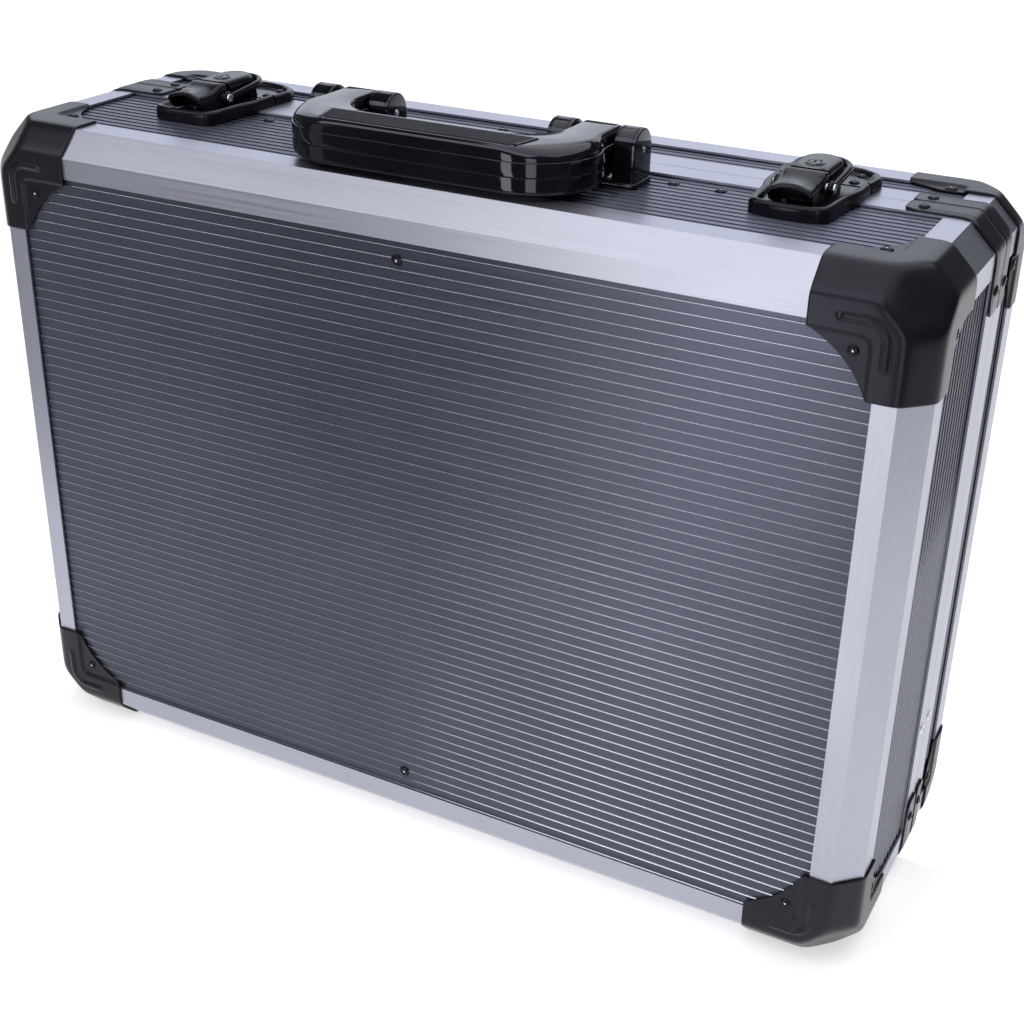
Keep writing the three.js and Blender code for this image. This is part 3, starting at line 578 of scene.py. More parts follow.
for name in ("base_edge_frame", "lid_edge_frame", "base_rim", "lid_rim"):
    cad_finish(name, ALUMINIUM, 0.35)
for _, side, _, level in CORNERS:
    cad_finish(f"base_post_{level}_{side}", ALUMINIUM, 0.35)


# ---- Corner protectors ----

ROUNDING = 0.9  # softness of the folds between a protector's faces
CENTRE = 26.0  # inset beyond which a face is flat along that axis
SHEET = 1.0  # thickness of the protectors and the clips
GUSSET_DROP = 1.25  # how far the gusset lies below the raised band along the edge
BAND = 24.0  # the band's width


def smooth_step(x):
    """0 to 1 with level ends, as x goes from 0 to 1."""
    t = np.clip(x, 0.0, 1.0)
    return t * t * (3 - 2 * t)


def corner_surface(points):
    """Moves points of the corner's cube onto the rounded, faceted corner."""
    q = np.array(points, float)
    inner = np.maximum(q, CENTRE)

    def outside(p):
        a, d, h = p[:, 0], p[:, 1], p[:, 2]
        root2, root3 = math.sqrt(2), math.sqrt(3)
        planes = [-a, -d, -h, (EDGE_LEG - a - d) / root2, (EDGE_LEG - d - h) / root2]
        planes += [(POST_LEG - a - h) / root2, (CORNER_SUM - a - d - h) / root3]
        stack = np.stack(planes) - PROUD
        return ROUNDING * np.log(np.exp(stack / ROUNDING).sum(axis=0))

    low, high = np.zeros(len(q)), np.full(len(q), 1.05)
    for _ in range(40):
        middle = (low + high) / 2
        beyond = outside(inner + (q - inner) * middle[:, None]) > 0
        high = np.where(beyond, middle, high)
        low = np.where(beyond, low, middle)
    return inner + (q - inner) * ((low + high) / 2)[:, None]


def arc_between(p, q, sagitta, t):
    """Point at t on the arc from p to q that bows towards the origin by sagitta."""
    chord = q - p
    radius = (abs(chord) ** 2 / 4 + sagitta ** 2) / (2 * sagitta)
    normal = 1j * chord / abs(chord)
    if (normal.conjugate() * (p + q)).real < 0:
        normal = -normal
    centre = (p + q) / 2 + normal * (radius - sagitta)
    turn = cmath.phase((q - centre) / (p - centre))
    return centre + (p - centre) * cmath.exp(1j * turn * t)


def face_map(u, v, limit_u, limit_v, band_v, sagitta):
    """Takes a square grid onto the face's footprint, whose far corner is an arc."""
    if u <= BAND or v <= band_v:
        return u, v
    s, t = (u - BAND) / (limit_u - BAND), (v - band_v) / (limit_v - band_v)
    near, right, top = complex(BAND, band_v), complex(limit_u, band_v), complex(BAND, limit_v)
    on_right = arc_between(right, top, sagitta, 0.5 * t)
    on_top = arc_between(top, right, sagitta, 0.5 * s)
    middle = arc_between(right, top, sagitta, 0.5)
    point = (1 - t) * (near + (right - near) * s) + t * on_top
    point += (1 - s) * (near + (top - near) * t) + s * on_right
    point -= (1 - t) * ((1 - s) * near + s * right) + t * ((1 - s) * top + s * middle)
    return point.real, point.imag


TIP = 25.0  # width of a shallow protector's leg at its far end
SLANT_START = 35.0
PROTECTOR_LEG = 49.3
PROTECTOR_REACH = {"base": 50.0, "lid": 31.0}
SHALLOW = 40.0  # a reach below this makes a shallow protector


def slanted(u, v, limit_u, limit_v):
    """Narrows a shallow leg by a straight slant from its rivet to its far end."""
    width = limit_v - (limit_v - TIP) * max(0.0, (u - SLANT_START) / (limit_u - SLANT_START))
    flat = EDGE_LEG + 1
    return v if v <= flat else flat + (v - flat) * (width - flat) / (limit_v - flat)


def bead_distance(u, v, route):
    """Distance from (u, v) to a route of straight stretches."""
    best = np.full(u.shape, 1e9)
    for (x0, y0), (x1, y1) in zip(route, route[1:]):
        dx, dy = x1 - x0, y1 - y0
        t = np.clip(((u - x0) * dx + (v - y0) * dy) / (dx * dx + dy * dy), 0, 1)
        best = np.minimum(best, np.hypot(u - x0 - t * dx, v - y0 - t * dy))
    return best


BEAD_END = (36.5, 17.2)
BEAD_ROUTE = [BEAD_END, *arc(26.5, 25.8, 8.6, -90, -180, 8), (17.9, 35.0)]
BEAD_HALF = 1.6
BEAD_LIFT = 1.0
DIMPLE_RADIUS = 1.25
DIMPLE_DEPTH = 0.9
FOLD_BLEND = 1.6  # softness of the gusset's inner corner
GRID_STEP = 0.7


def protector_shape(leg, reach):
    """One corner protector, in insets from the case's (end, face, top)."""
    along = np.linspace(-PROUD, leg, round((leg + PROUD) / GRID_STEP) + 1)
    deep = np.linspace(-PROUD, reach, round((reach + PROUD) / GRID_STEP) + 1)
    shallow = reach < SHALLOW
    made = Shape()

    def add_side(axis, vs, limit, band_v, sagitta, to_insets):
        """The side that faces along an axis. One with no sagitta is slanted, not rounded."""
        if sagitta is None:
            grid = [(u, slanted(u, v, leg, limit)) for u in along for v in vs]
        else:
            grid = [face_map(u, v, leg, limit, band_v, sagitta) for u in along for v in vs]
        surface = corner_surface([to_insets(u, v) for u, v in grid])
        u, v = np.array(grid).T
        nearest = np.exp(-(u - BAND) / FOLD_BLEND) + np.exp(-(v - band_v) / FOLD_BLEND)
        nearest = -FOLD_BLEND * np.log(nearest)
        surface[:, axis] += smooth_step((nearest + 0.7) / 1.4) * GUSSET_DROP
        if axis == 1:
            away = bead_distance(u, v, BEAD_ROUTE) / BEAD_HALF
            dimple = np.hypot(u - BEAD_END[0], v - BEAD_END[1]) / DIMPLE_RADIUS
            surface[:, axis] -= BEAD_LIFT * np.clip(1 - away ** 2, 0, 1) ** 0.6
            surface[:, axis] += DIMPLE_DEPTH * np.clip(1 - dimple ** 2, 0, 1)
        made.loft(surface.reshape(len(along), len(vs), 3).tolist(), closed=False, caps=False)

    band_d = 24.4 if shallow else 26.2
    side_sag = None if shallow else 5.6
    add_side(1, along, leg, BAND, 3.5, lambda u, v: (u, -PROUD, v))
    add_side(2, deep, reach, band_d, side_sag, lambda u, v: (u, v, -PROUD))
    add_side(0, deep, reach, band_d, side_sag, lambda u, v: (-PROUD, v, u))
    return made


def thicken(obj):
    """Turns a sheet's outer side away from the middle of the case, and thickens it inwards."""
    centre = Vector((0, 0, MIDDLE * MM))
    polygon = max(obj.data.polygons, key=lambda p: (p.center - centre).length)
    if polygon.normal.dot(polygon.center - centre) < 0:
        obj.data.flip_normals()
    plate = obj.modifiers.new("sheet", "SOLIDIFY")
    plate.thickness = SHEET * MM
    plate.offset = -1.0
    plate.use_even_offset = False
    plate.use_rim = True


for shell in SHELLS:
    for sx, side, sz, level in CORNERS:
        made = protector_shape(PROTECTOR_LEG, PROTECTOR_REACH[shell])
        verts = []
        for a, d, h in made.verts:
            x, z = from_corner(sx, sz, a, h)
            verts.append((x, FRONT + d if shell == "base" else FRONT + DEPTH - d, z))
        made.verts = verts
        node = f"{shell}_protector_{level}_{side}"
        thicken(piece(f"{node}_stamped", made, shell, BLACK, [node], 80))


# ---- Parting clips ----

CLIP_LEG = 39.4
CLIP_GAP = {1: 0.3, -1: 1.6}  # from the parting line, at the top and at the bottom
CLIP_GRID = 10
# Each shell's strap: from the parting line to its free edge, and how far that edge
# shifts on the post's facet
CLIP_EDGE = {"base": (-13.7, -2.6), "lid": (12.2, 0.8)}


def clip(shell, sx, sz):
    """A pressed strap round a corner post, whose free edge shifts on the post's facet."""
    away, spread = CLIP_EDGE[shell]
    near = PARTING + away
    far = PARTING + math.copysign(CLIP_GAP[sz], away)
    outward = math.copysign(1.0, far - near)
    bend = POST_LEG - PROUD * (math.sqrt(2) - 1)
    corner = [(CLIP_LEG, -PROUD), (bend, -PROUD), (-PROUD, bend), (-PROUD, CLIP_LEG)]
    path = []
    for (a0, h0), (a1, h1) in zip(corner, corner[1:]):
        spans = 24 if CLIP_LEG in (a0, h1) else 12
        path += [(a0 + (a1 - a0) * k / spans, h0 + (h1 - h0) * k / spans) for k in range(spans)]
    path.append(corner[-1])
    # The two folds are rounded
    for _ in range(3):
        path = [path[0]] + [tuple((a + 2 * b + c) / 4 for a, b, c in zip(*three))
                            for three in zip(path, path[1:], path[2:])] + [path[-1]]
    total = len(path) - 1
    rings = []
    for i, (a, h) in enumerate(path):
        end = min(i, total - i)
        facet = smooth_step((end - 19.0) / 7.0)
        # The strap's two ends have their corners cut
        nip = 2.4 * max(0.0, 1 - end / 2.6) ** 1.5
        edge = near + spread * facet + outward * nip
        stop = far - outward * nip * 0.5
        ring = []
        for k in range(CLIP_GRID + 1):
            t = k / CLIP_GRID
            # A shallow step runs along the strap's free edge
            sunk = 0.35 * smooth_step((0.28 - t) / 0.12) * smooth_step((end - 2.0) / 4.0)
            x, z = from_corner(sx, sz, a + sunk * (a < 0), h + sunk * (h < 0))
            ring.append((x, FRONT + edge + (stop - edge) * t, z))
        rings.append(ring)
    return Shape().loft(rings, closed=False, caps=False)


for shell in SHELLS:
    for sx, side, sz, level in CORNERS:
        node = f"{shell}_clip_{level}_{side}"
        thicken(piece(f"{node}_strap", clip(shell, sx, sz), shell, BLACK, [node], 60))


# ---- Rivets ----


RIVET_RADIUS = 2.75
RIVET_HEIGHT = 0.95


def rivet(flanges, mandrels, at, normal, radius, height):
    """A blind rivet: a domed flange with a hollow that shows the mandrel's end."""
    normal = Vector(normal).normalized()
    side = normal.orthogonal().normalized()
    other = normal.cross(side)
    at = Vector(at)
    hole = radius * 0.33
    outline = [(radius * 0.98, -0.4), (radius, min(0.12, height * 0.2))]
    outline.append((radius * 0.94, min(0.36, height * 0.5)))
    for i in range(5):
        rise = math.sin(i / 4 * math.pi / 2)
        outline.append((radius * (0.9 - 0.12 * i), height * (0.45 + 0.55 * rise)))
    outline += [(hole * 1.15, height * 0.98), (hole, height * 0.8), (hole * 0.9, height * 0.45)]
    dome = [(hole * 0.82, height * 0.4), (hole * 0.8, height * 0.62), (hole * 0.6, height * 0.78)]
    dome.append((hole * 0.25, height * 0.86))

    def ring(r, z):
        return [tuple(at + side * a + other * b + normal * z) for a, b in circle(r, 20)]

    flanges.loft([ring(r, z) for r, z in outline])
    mandrels.loft([ring(r, z) for r, z in dome])


# Each shell's (flanges, mandrels)
rivets = {shell: (Shape(), Shape()) for shell in SHELLS}
silver = {shell: (Shape(), Shape()) for shell in SHELLS}


def rivet_at(shell, where, normal, radius=RIVET_RADIUS, bright=False, height=RIVET_HEIGHT):
    """Puts a rivet on a shell, black or bright."""
    rivet(*(silver if bright else rivets)[shell], where, normal, radius, height)


SMALL = 2.5
CORNER_RIVET = 30.5  # inset of the rivets beside the corners
GUSSET_DEPTH = {"base": 31.1, "lid": 28.0}
CLIP_DEPTH = {"base": 91.5, "lid": 105.8}
CLIP_X = 197.5
for shell, facing, face in (("base", -1, FRONT), ("lid", 1, FRONT + DEPTH)):
    # Two on each face's centre line
    for z in (TOP - 30, BOTTOM + 30):
        rivet_at(shell, (0, face - facing * (BOARD_FACE + 0.1), z), (0, facing, 0))
    gusset_y = face - facing * GUSSET_DEPTH[shell]
    clip_y = FRONT + CLIP_DEPTH[shell]
    for sx, _, sz, _ in CORNERS:
        end, outer = from_corner(sx, sz, 0, 0)
        x, z = from_corner(sx, sz, CORNER_RIVET, CORNER_RIVET)
        # One on each side of each protector
        rivet_at(shell, (x, face - facing * 0.05, z), (0, facing, 0), SMALL)
        rivet_at(shell, (x, gusset_y, outer), (0, 0, sz))
        rivet_at(shell, (end, gusset_y, outer - sz * 28.5), (sx, 0, 0))
        # One on each leg of each clip, flat under the case
        if sz > 0:
            rivet_at(shell, (sx * CLIP_X, clip_y, outer + PROUD), (0, 0, 1), SMALL)
        else:
            rivet_at(shell, (sx * CLIP_X, clip_y, 0.22), (0, 0, -1), SMALL, height=0.2)
        rivet_at(shell, (end + sx * PROUD, clip_y, outer - sz * 29), (sx, 0, 0), SMALL)
# Beside the handle's brackets, and behind the handle
for x in (-118.5, -97.0, 92.8, 114.6):
    rivet_at("base", place(x, 77.5, -BOARD_FACE - 0.1), (0, 0, 1))
for x in (-13.8, 5.3):
    rivet_at("lid", place(x, 121.4, -BOARD_FACE - 0.1), (0, 0, 1))
LATCH_X = 151.5
HINGE_X = 130
HINGE_FACE = BOTTOM - 0.9
for sx, _ in SIDES:
    # The stays' studs
    rivet_at("base", (sx * WIDTH / 2, FRONT + 91, BOTTOM + 80), (sx, 0, 0), 2.9, True)
    rivet_at("lid", (sx * WIDTH / 2, FRONT + 103.3, BOTTOM + 80), (sx, 0, 0), 2.9, True)
    # Two on each side of the latch's catch
    for dx in (-12, 12):
        for depth in (105.5, 117.0):
            rivet_at("lid", place(sx * LATCH_X + dx, depth, 2.7), (0, 0, 1), 2.4)
    # Three on each leaf of the hinge
    for dx in (-18, 0, 18):
        for shell, depth in (("base", PARTING - 15), ("lid", PARTING + 15)):
            rivet_at(shell, (sx * HINGE_X + dx, FRONT + depth, HINGE_FACE), (0, 0, -1), 2.2, height=0.28)

for shell in SHELLS:
    for kind, (flanges, mandrels), finish, slot in (
            ("rivet", rivets[shell], LATCH, "black_steel"),
            ("stay_rivet", silver[shell], STEEL, "bright_steel")):
        piece(f"{shell}_{kind}s", flanges, shell, finish, (), 50)
        piece(f"{shell}_{kind}_mandrels", mandrels, shell, STEEL, (), 50)


# ---- Handle ----

PIN_DEPTH = 68.0
PIN_HEIGHT = 14.0
ARM_END = 9.0  # radius of an arm's end round its pin
HANDLE_FRONT = 12.0
HANDLE_HALF = 73.5
ARM_OUTER = 71.0
ARM_INNER = 51.0
GAP_FRONT = 36.0
SEAM = 10.0
CORNER = 31.0  # plan radius of the grip's front corners
GAP_CORNER = 20.0
CORNER_BACK = HANDLE_FRONT + CORNER
ARM_START = CORNER_BACK + 12.5
SHOULDER = 16.6  # height from which the top rounds over
HANDLE_TOP = 22.0
HANDLE_BOTTOM = 1.6
HANDLE_SHARP = 42
# Reach of the rounding over, round the outline
FRONT_ROUND = 3.0
CORNER_ROUND = 8.5
ARM_ROUND = 2.6
INNER_ROUND = 1.6


def handle_ring(height, share, lift):
    """The handle's outline at a height, moved in by lift. share, 0 to 1, is how far its
    edge has rounded over."""
    # The arms end round their pins, and slope forwards below them
    if height > 5.1:
        rear = PIN_DEPTH + math.sqrt(max(0.0, ARM_END ** 2 - (height - PIN_HEIGHT) ** 2))
    else:
        rear = 57 + (height - HANDLE_BOTTOM) * 2.2
    half = []

    def add(x, depth, nx, nd, weight):
        inset = lift + share * weight
        half.append((x - nx * inset, depth - nd * inset))

    for x in (0, 10, 20, 28, 35):
        add(x, HANDLE_FRONT, 0, -1, FRONT_ROUND)
    for k in range(19):
        angle = math.radians(-90 + 5 * k)
        nx, nd = math.cos(angle), math.sin(angle)
        swell = math.sin(math.pi * k / 18) ** 1.2
        weight = FRONT_ROUND + (ARM_ROUND + 2 - FRONT_ROUND) * k / 18 + (CORNER_ROUND - FRONT_ROUND) * swell
        add(HANDLE_HALF - CORNER + CORNER * nx, CORNER_BACK + CORNER * nd, nx, nd, weight)
    for k in range(1, 5):
        t = k / 4
        taper = (HANDLE_HALF - ARM_OUTER) * t * t * (3 - 2 * t)
        add(HANDLE_HALF - taper, CORNER_BACK + 12 * t, 1, 0, ARM_ROUND + 2 * (1 - t))
    end = max(rear, ARM_START + 1)
    for k in range(1, 4):
        add(ARM_OUTER, ARM_START + (end - ARM_START) * k / 3, 1, 0, ARM_ROUND)
    half.append((ARM_INNER + lift + share * INNER_ROUND, end))
    for k in range(1, 4):
        add(ARM_INNER, rear + (GAP_FRONT + GAP_CORNER - rear) * k / 4, -1, 0, INNER_ROUND)
    for k in range(11):
        angle = math.radians(-90 * k / 10)
        nx, nd = math.cos(angle), math.sin(angle)
        x = ARM_INNER - GAP_CORNER + GAP_CORNER * nx
        add(x, GAP_FRONT + GAP_CORNER + GAP_CORNER * nd, -nx, -nd, INNER_ROUND)
    for x in (24, 16, 8, 0):
        add(x, GAP_FRONT, 0, 1, INNER_ROUND)
    other = [(-x, d) for x, d in reversed(half[1:-1])]
    return [place(x, d, height) for x, d in half + other]


INSERT_OUTLINE = [(-46, 16.2), (46, 16.2), (50, 32.3), (-50, 32.3)]
RECESS_FLOOR = 20.3
RECESS_GAP = 0.35


def insert_outline(grow, ends, radius):
    """The grip insert's outline, grown by grow, and by ends at its two ends."""
    corners = [(x + math.copysign(ends, x), d + (grow if d > 20 else -grow)) for x, d in INSERT_OUTLINE]
    return rounded_path(corners, radius, 6, closed=True)


def handle():
    """The grip's two moulded halves and its insert."""
    upper = Shape()
    levels = [(SEAM + 0.12, 0.22), (SEAM + 0.2, 0.06), (SEAM + 0.35, 0.0), (12.5, 0.0), (15.8, 0.0),
              (16.05, 0.06), (16.2, 0.22), (16.27, 0.45), (16.3, 0.62), (SHOULDER, 0.62)]
    rings = [handle_ring(h, 0.0, inset) for h, inset in levels]
    for k in range(1, 13):
        turn = math.radians(90 * k / 12)
        rise = (HANDLE_TOP - SHOULDER) * math.sin(turn)
        rings.append(handle_ring(SHOULDER + rise, 1 - math.cos(turn), 0.62))
    upper.loft(rings, caps=False)
    upper.add(rings[0], [tuple(range(len(rings[0])))])
    recess = insert_outline(RECESS_GAP, 1.3, 2.6)
    hole = [place(x, d, HANDLE_TOP) for x, d in recess]
    floor = [place(x, d, RECESS_FLOOR) for x, d in recess]
    holed_face(upper, rings[-1], hole)
    upper.loft([hole, floor], caps=False)
    upper.add(floor, [tuple(range(len(floor)))])
    # A rounded lip closes each end of the recess
    bead = [(0.8 * x, 0.75 * y) for x, y in circle(1.0, 12)]
    lip = ((47.1, 17.2), (48.6, 23.9), (49.7, 28.9), (50.2, 31.2))
    for sign in (-1, 1):
        rail(upper, [(sign * x, d, HANDLE_TOP - 0.1) for x, d in lip], bead)
    piece("handle_upper_shell", upper, "handle", GLOSS, ["handle_upper"], HANDLE_SHARP)

    lower = Shape()
    rings = []
    for k in range(9):
        turn = math.radians(90 * k / 8)
        rise = 3.4 * (1 - math.cos(turn))
        rings.append(handle_ring(HANDLE_BOTTOM + rise, 0.0, 3.2 * (1 - math.sin(turn))))
    for h, inset in ((5.3, 0.0), (6.2, 0.0), (7.6, 0.0), (9.65, 0.0), (9.8, 0.06), (9.88, 0.22)):
        rings.append(handle_ring(h, 0.0, inset))
    lower.loft(rings)
    piece("handle_lower_shell", lower, "handle", GLOSS, ["handle_lower"], HANDLE_SHARP)

    levels = [(RECESS_FLOOR + 0.1, 0.0), (21.6, 0.0), (21.9, 0.08), (22.15, 0.3), (22.25, 0.7), (22.27, 1.4)]
    pad = slab_z(Shape(), insert_outline(0.0, 0.0, 2.2), levels)
    piece("handle_insert_pad", pad, "handle", INSERT, ["handle_insert"], HANDLE_SHARP)


handle()


def lug(shape, x0, x1):
    """One pivot lug, with a fine groove just inside each end."""
    outline = [(PIN_DEPTH - ARM_END, -0.6), (PIN_DEPTH + ARM_END, -0.6)]
    outline += arc(PIN_DEPTH, PIN_HEIGHT, ARM_END, 0, 180, 28)
    ends = rounding(x0, x1, 0.7)
    groove = [(x0 + 1.5, 0.0), (x0 + 1.6, 0.28), (x0 + 1.9, 0.28), (x0 + 2.0, 0.0)]
    other = [(x0 + x1 - x, inset) for x, inset in reversed(groove)]
    half = len(ends) // 2
    return slab_x(shape, outline, ends[:half] + groove + other + ends[half:])


BRACKET_FOOT = [(39.2, 58.2), (82.8, 58.2), (82.8, 78.0), (39.2, 78.0)]
BRACKET_PIN = [(39.5, 0.5), (39.6, 1.1), (39.9, 1.5), (40.4, 1.6), (81.5, 1.6), (82.1, 1.5), (82.4, 1.1),
               (82.5, 0.5)]
for sx, side in SIDES:
    bracket = Shape()
    foot = rounded_path(BRACKET_FOOT, 2.5, 5, closed=True)
    slab_z(bracket, foot, [(-0.8, 0.0), (0.3, 0.0), (0.7, 0.2), (0.9, 0.6)])
    lug(bracket, 40, 50.5)
    lug(bracket, 71.6, 82)
    pin = turned_x(Shape(), PIN_DEPTH, PIN_HEIGHT, BRACKET_PIN)
    for shape in (bracket, pin):
        shape.verts = [(sx * x, y, z) for x, y, z in shape.verts]
    node = f"handle_bracket_{side}"
    piece(f"{node}_cast", bracket, "base", GLOSS, [node], HANDLE_SHARP)
    piece(f"{node}_pin", pin, "base", STEEL, [node], HANDLE_SHARP)


# ---- Latches ----

LATCH_PIN = (74.5, 7.5)  # depth and height of the pivot pin
KNUCKLE = 6.4  # radius of the lever's end round the pin
LOCK_DEPTH = 86.0
CAP_HALF = 9.0
CAP_TOP = 14.0
CAP_STRAIGHT = 10.5  # height from which the cap grows longer and rounds over
# The plates: a pan with a raised rim
PAN_LEVELS = [(-0.9, 0.0), (2.72, 0.0)]
PAN_INSET = 4.8
RIM_SECTION = [(0, -1), (0, 2.6), (0.15, 3.6), (0.6, 4.45), (1.3, 4.95), (2.1, 5.1), (2.9, 4.9), (3.5, 4.4),
               (4.0, 3.7), (4.6, 3.05), (5.4, 2.75), (6.0, 2.7), (6.0, -1)]


def mirrored_path(half):
    """A plan path from its right half, given from its middle point outwards."""
    return [(-x, *rest) for x, *rest in reversed(half[1:])] + half


def latch_plate(x0):
    """The base plate: a pan open towards the catch, with two ears for the pin."""
    shape = Shape()
    half = [(0, 50.6, 0), (7, 51.0, 0), (14.4, 52.4, 0), (17.0, 55.0, 0), (17.7, 60, 0), (18.9, 76, 0),
            (20.7, 83, 0), (21.3, 88, 0), (21.3, 98.9, 0)]
    path = rounded_path(mirrored_path(half), 1.8, 4)
    path = [(x0 + x, d, h) for x, d, h in path]
    rail(shape, path, RIM_SECTION)
    slab_z(shape, inset_outline(path, PAN_INSET, closed=False), PAN_LEVELS)
    depth, height = LATCH_PIN
    for ear in (-1, 1):
        outline = [(depth - 3.4, 0.9), (depth + 3.4, 0.9), *arc(depth, height, 3.4, 0, 180, 14)]
        slab_x(shape, outline, rounding(x0 + ear * 5 - 1, x0 + ear * 5 + 1, 0.3, 2))
    return shape


def latch_pin(x0):
    """The pivot pin, hollow at its ends."""
    end = [(12.2, 0.3), (12.2, 0.95), (13.1, 1.05), (13.3, 1.35), (13.2, 1.9), (12.6, 2.1)]
    profile = [(x0 - x, r) for x, r in end] + [(x0 + x, r) for x, r in reversed(end)]
    return turned_x(Shape(), *LATCH_PIN, profile)


LEVER_HALF = 9.5
LEVER_WALL = 1.25


def lever_section(x0, depth, top, crown, radius, low):
    """Inverted trough: its outer line from side to side, then its inner line back."""
    line = []
    inside = (LEVER_HALF - LEVER_WALL, top - LEVER_WALL, radius - LEVER_WALL * 0.6)
    for half, rise, r in ((LEVER_HALF, top, radius), inside):
        shoulder = rise - crown
        bottom = min(low, shoulder - r - 0.1)
        flank = [(-half, bottom), (-half, (bottom + shoulder - r) / 2)]
        flank += arc(r - half, shoulder - r, r, 180, 105, 5)
        back = [(r - half) * (1 - k / 6) for k in range(13)]
        part = flank + [(x, shoulder + crown * (1 - (x / (half - r)) ** 2)) for x in back]
        part += [(-x, h) for x, h in reversed(flank)]
        line += part if half == LEVER_HALF else list(reversed(part))
    return [place(x0 + x, depth, h) for x, h in line]


def latch_lever(x0):
    """The thumb lever, a pressed trough that ends in a knuckle round the pin."""
    shape = Shape()
    # Depth, top, crown, corner radius and lower edge
    stations = [(55.3, 12.0, 1.5, 2.2, 8.6), (55.7, 12.35, 1.5, 2.4, 8.0), (56.6, 12.4, 1.45, 2.6, 6.4),
                (58.4, 12.2, 1.3, 2.6, 4.2), (60.5, 12.0, 1.1, 2.6, 3.2), (63.5, 11.95, 0.8, 2.6, 3.0),
                (66.5, 12.1, 0.5, 2.6, 3.0), (69.0, 12.5, 0.3, 2.5, 3.0), (70.6, 13.0, 0.15, 2.4, 3.2),
                (72.0, 13.5, 0.08, 2.2, 3.6), (73.4, 13.82, 0.04, 2.0, 4.4), (74.6, 13.9, 0.02, 1.9, 5.4),
                (75.8, 13.75, 0.02, 1.8, 7.2), (76.7, 13.45, 0.02, 1.6, 8.6)]
    shape.loft([lever_section(x0, *station) for station in stations])
    # The cross wall inside, and the curled lip at its foot
    web = [(64.6, 3.4), (66.2, 3.4), (66.2, 11.2), (64.6, 11.2)]
    slab_x(shape, web, [(x0 - 8.6, 0.0), (x0 + 8.6, 0.0)])
    lip = []
    for k in range(11):
        t = -1 + k / 5
        lip.append((x0 + 6.2 * t, 62.4 - 1.6 * (1 - t * t), 4.2 + 0.9 * (1 - t * t)))
    return rail(shape, lip, circle(0.55, 8))


def cap_ring(x0, height, inset):
    """The lock cap's outline at a height, hollowed in front for the lever's knuckle."""
    depth, pin = LATCH_PIN
    front = depth + math.sqrt(max(0.0, (KNUCKLE + 0.45) ** 2 - (height - pin) ** 2)) + inset * 0.12
    side = CAP_HALF - inset
    # Low down, the cap ends flat, in front of the catch
    limit = 98.0 if height < CAP_STRAIGHT else 200.0
    points = [(x0 - side * k / 5, front) for k in (4, 2, 0, -2, -4)]
    points += [(x0 + side, front + 0.3 + inset * 0.1), (x0 + side, 84.0), (x0 + side, 90.0)]
    points += [(x, min(limit, d)) for x, d in arc(x0, 96.0, side, 0, 180, 24)]
    points += [(x0 - side, 90.0), (x0 - side, 84.0), (x0 - side, front + 0.3 + inset * 0.1)]
    return [place(x, d, height) for x, d in points]


def latch_cap(x0):
    """The lock's housing."""
    heights = (1.8, 3.2, 4.6, 6.0, 7.5, 9.0, 10.2, 10.45, CAP_STRAIGHT, 10.9)
    rings = [cap_ring(x0, h, 0.0) for h in heights]
    for k in range(1, 9):
        turn = math.radians(90 * k / 8)
        rings.append(cap_ring(x0, 11.0 + (CAP_TOP - 11.0) * math.sin(turn), 2.7 * (1 - math.cos(turn))))
    return Shape().loft(rings)


def latch_lock(x0):
    """The key cylinder with its slot, a collar round it and its stem below."""
    shape = Shape()
    corners = [(-0.55, -1.7), (0.55, -1.7), (0.55, 1.7), (-0.55, 1.7)]
    outline = rounded_path(corners, 0.4, 3, closed=True)
    profile = [(11.0, 4.2), (14.3, 4.2), (14.55, 4.05), (14.65, 3.75), (14.6, 3.45), (14.3, 3.2),
               (14.15, 2.9), (14.25, 2.65), (14.5, 2.5), (14.62, 2.3)]
    slot = [place(x0 + x, LOCK_DEPTH + d, profile[-1][0]) for x, d in outline]
    sunk = [(x, y, z - 1.5) for x, y, z in slot]
    steps = 28
    turned_z(shape, x0, LOCK_DEPTH, profile, steps, caps=False)
    holed_face(shape, shape.verts[-steps:], slot)
    shape.loft([slot, sunk], caps=False)
    shape.add(sunk, [tuple(range(len(sunk)))])
    turned_z(shape, x0, LOCK_DEPTH, [(6.0, 2.2), (11.1, 2.2)])
    turned_z(shape, x0, LOCK_DEPTH, [(13.9, 4.9), (14.12, 4.8), (14.2, 4.45), (14.2, 4.1)])
    return shape


def latch_catch(x0):
    """The catch plate on the lid: a pan with a slightly lower rim, and its hook."""
    shape = Shape()
    half = [(21.4, 100.3, 0), (22.3, 107, 0), (22.5, 112, 0), (19.6, 118.6, 0), (12, 123.4, 0), (5, 125.0, 0),
            (0, 125.4, 0)]
    path = half + [(-x, d, h) for x, d, h in reversed(half[:-1])]
    path = [(x0 + x, d, h) for x, d, h in rounded_path(path, 1.8, 4)]
    rail(shape, path, [(a, b - 0.2 if b > 3 else b) for a, b in RIM_SECTION])
    slab_z(shape, inset_outline(path, PAN_INSET, closed=False), PAN_LEVELS)
    hook = [(100.9, 0.9), (106.5, 0.9), (105.0, 4.0), (104.6, 7.2), (102.4, 7.4)]
    slab_x(shape, rounded_path(hook, 0.5, 3, closed=True), rounding(x0 - 6.5, x0 + 6.5, 0.4, 3))
    return shape


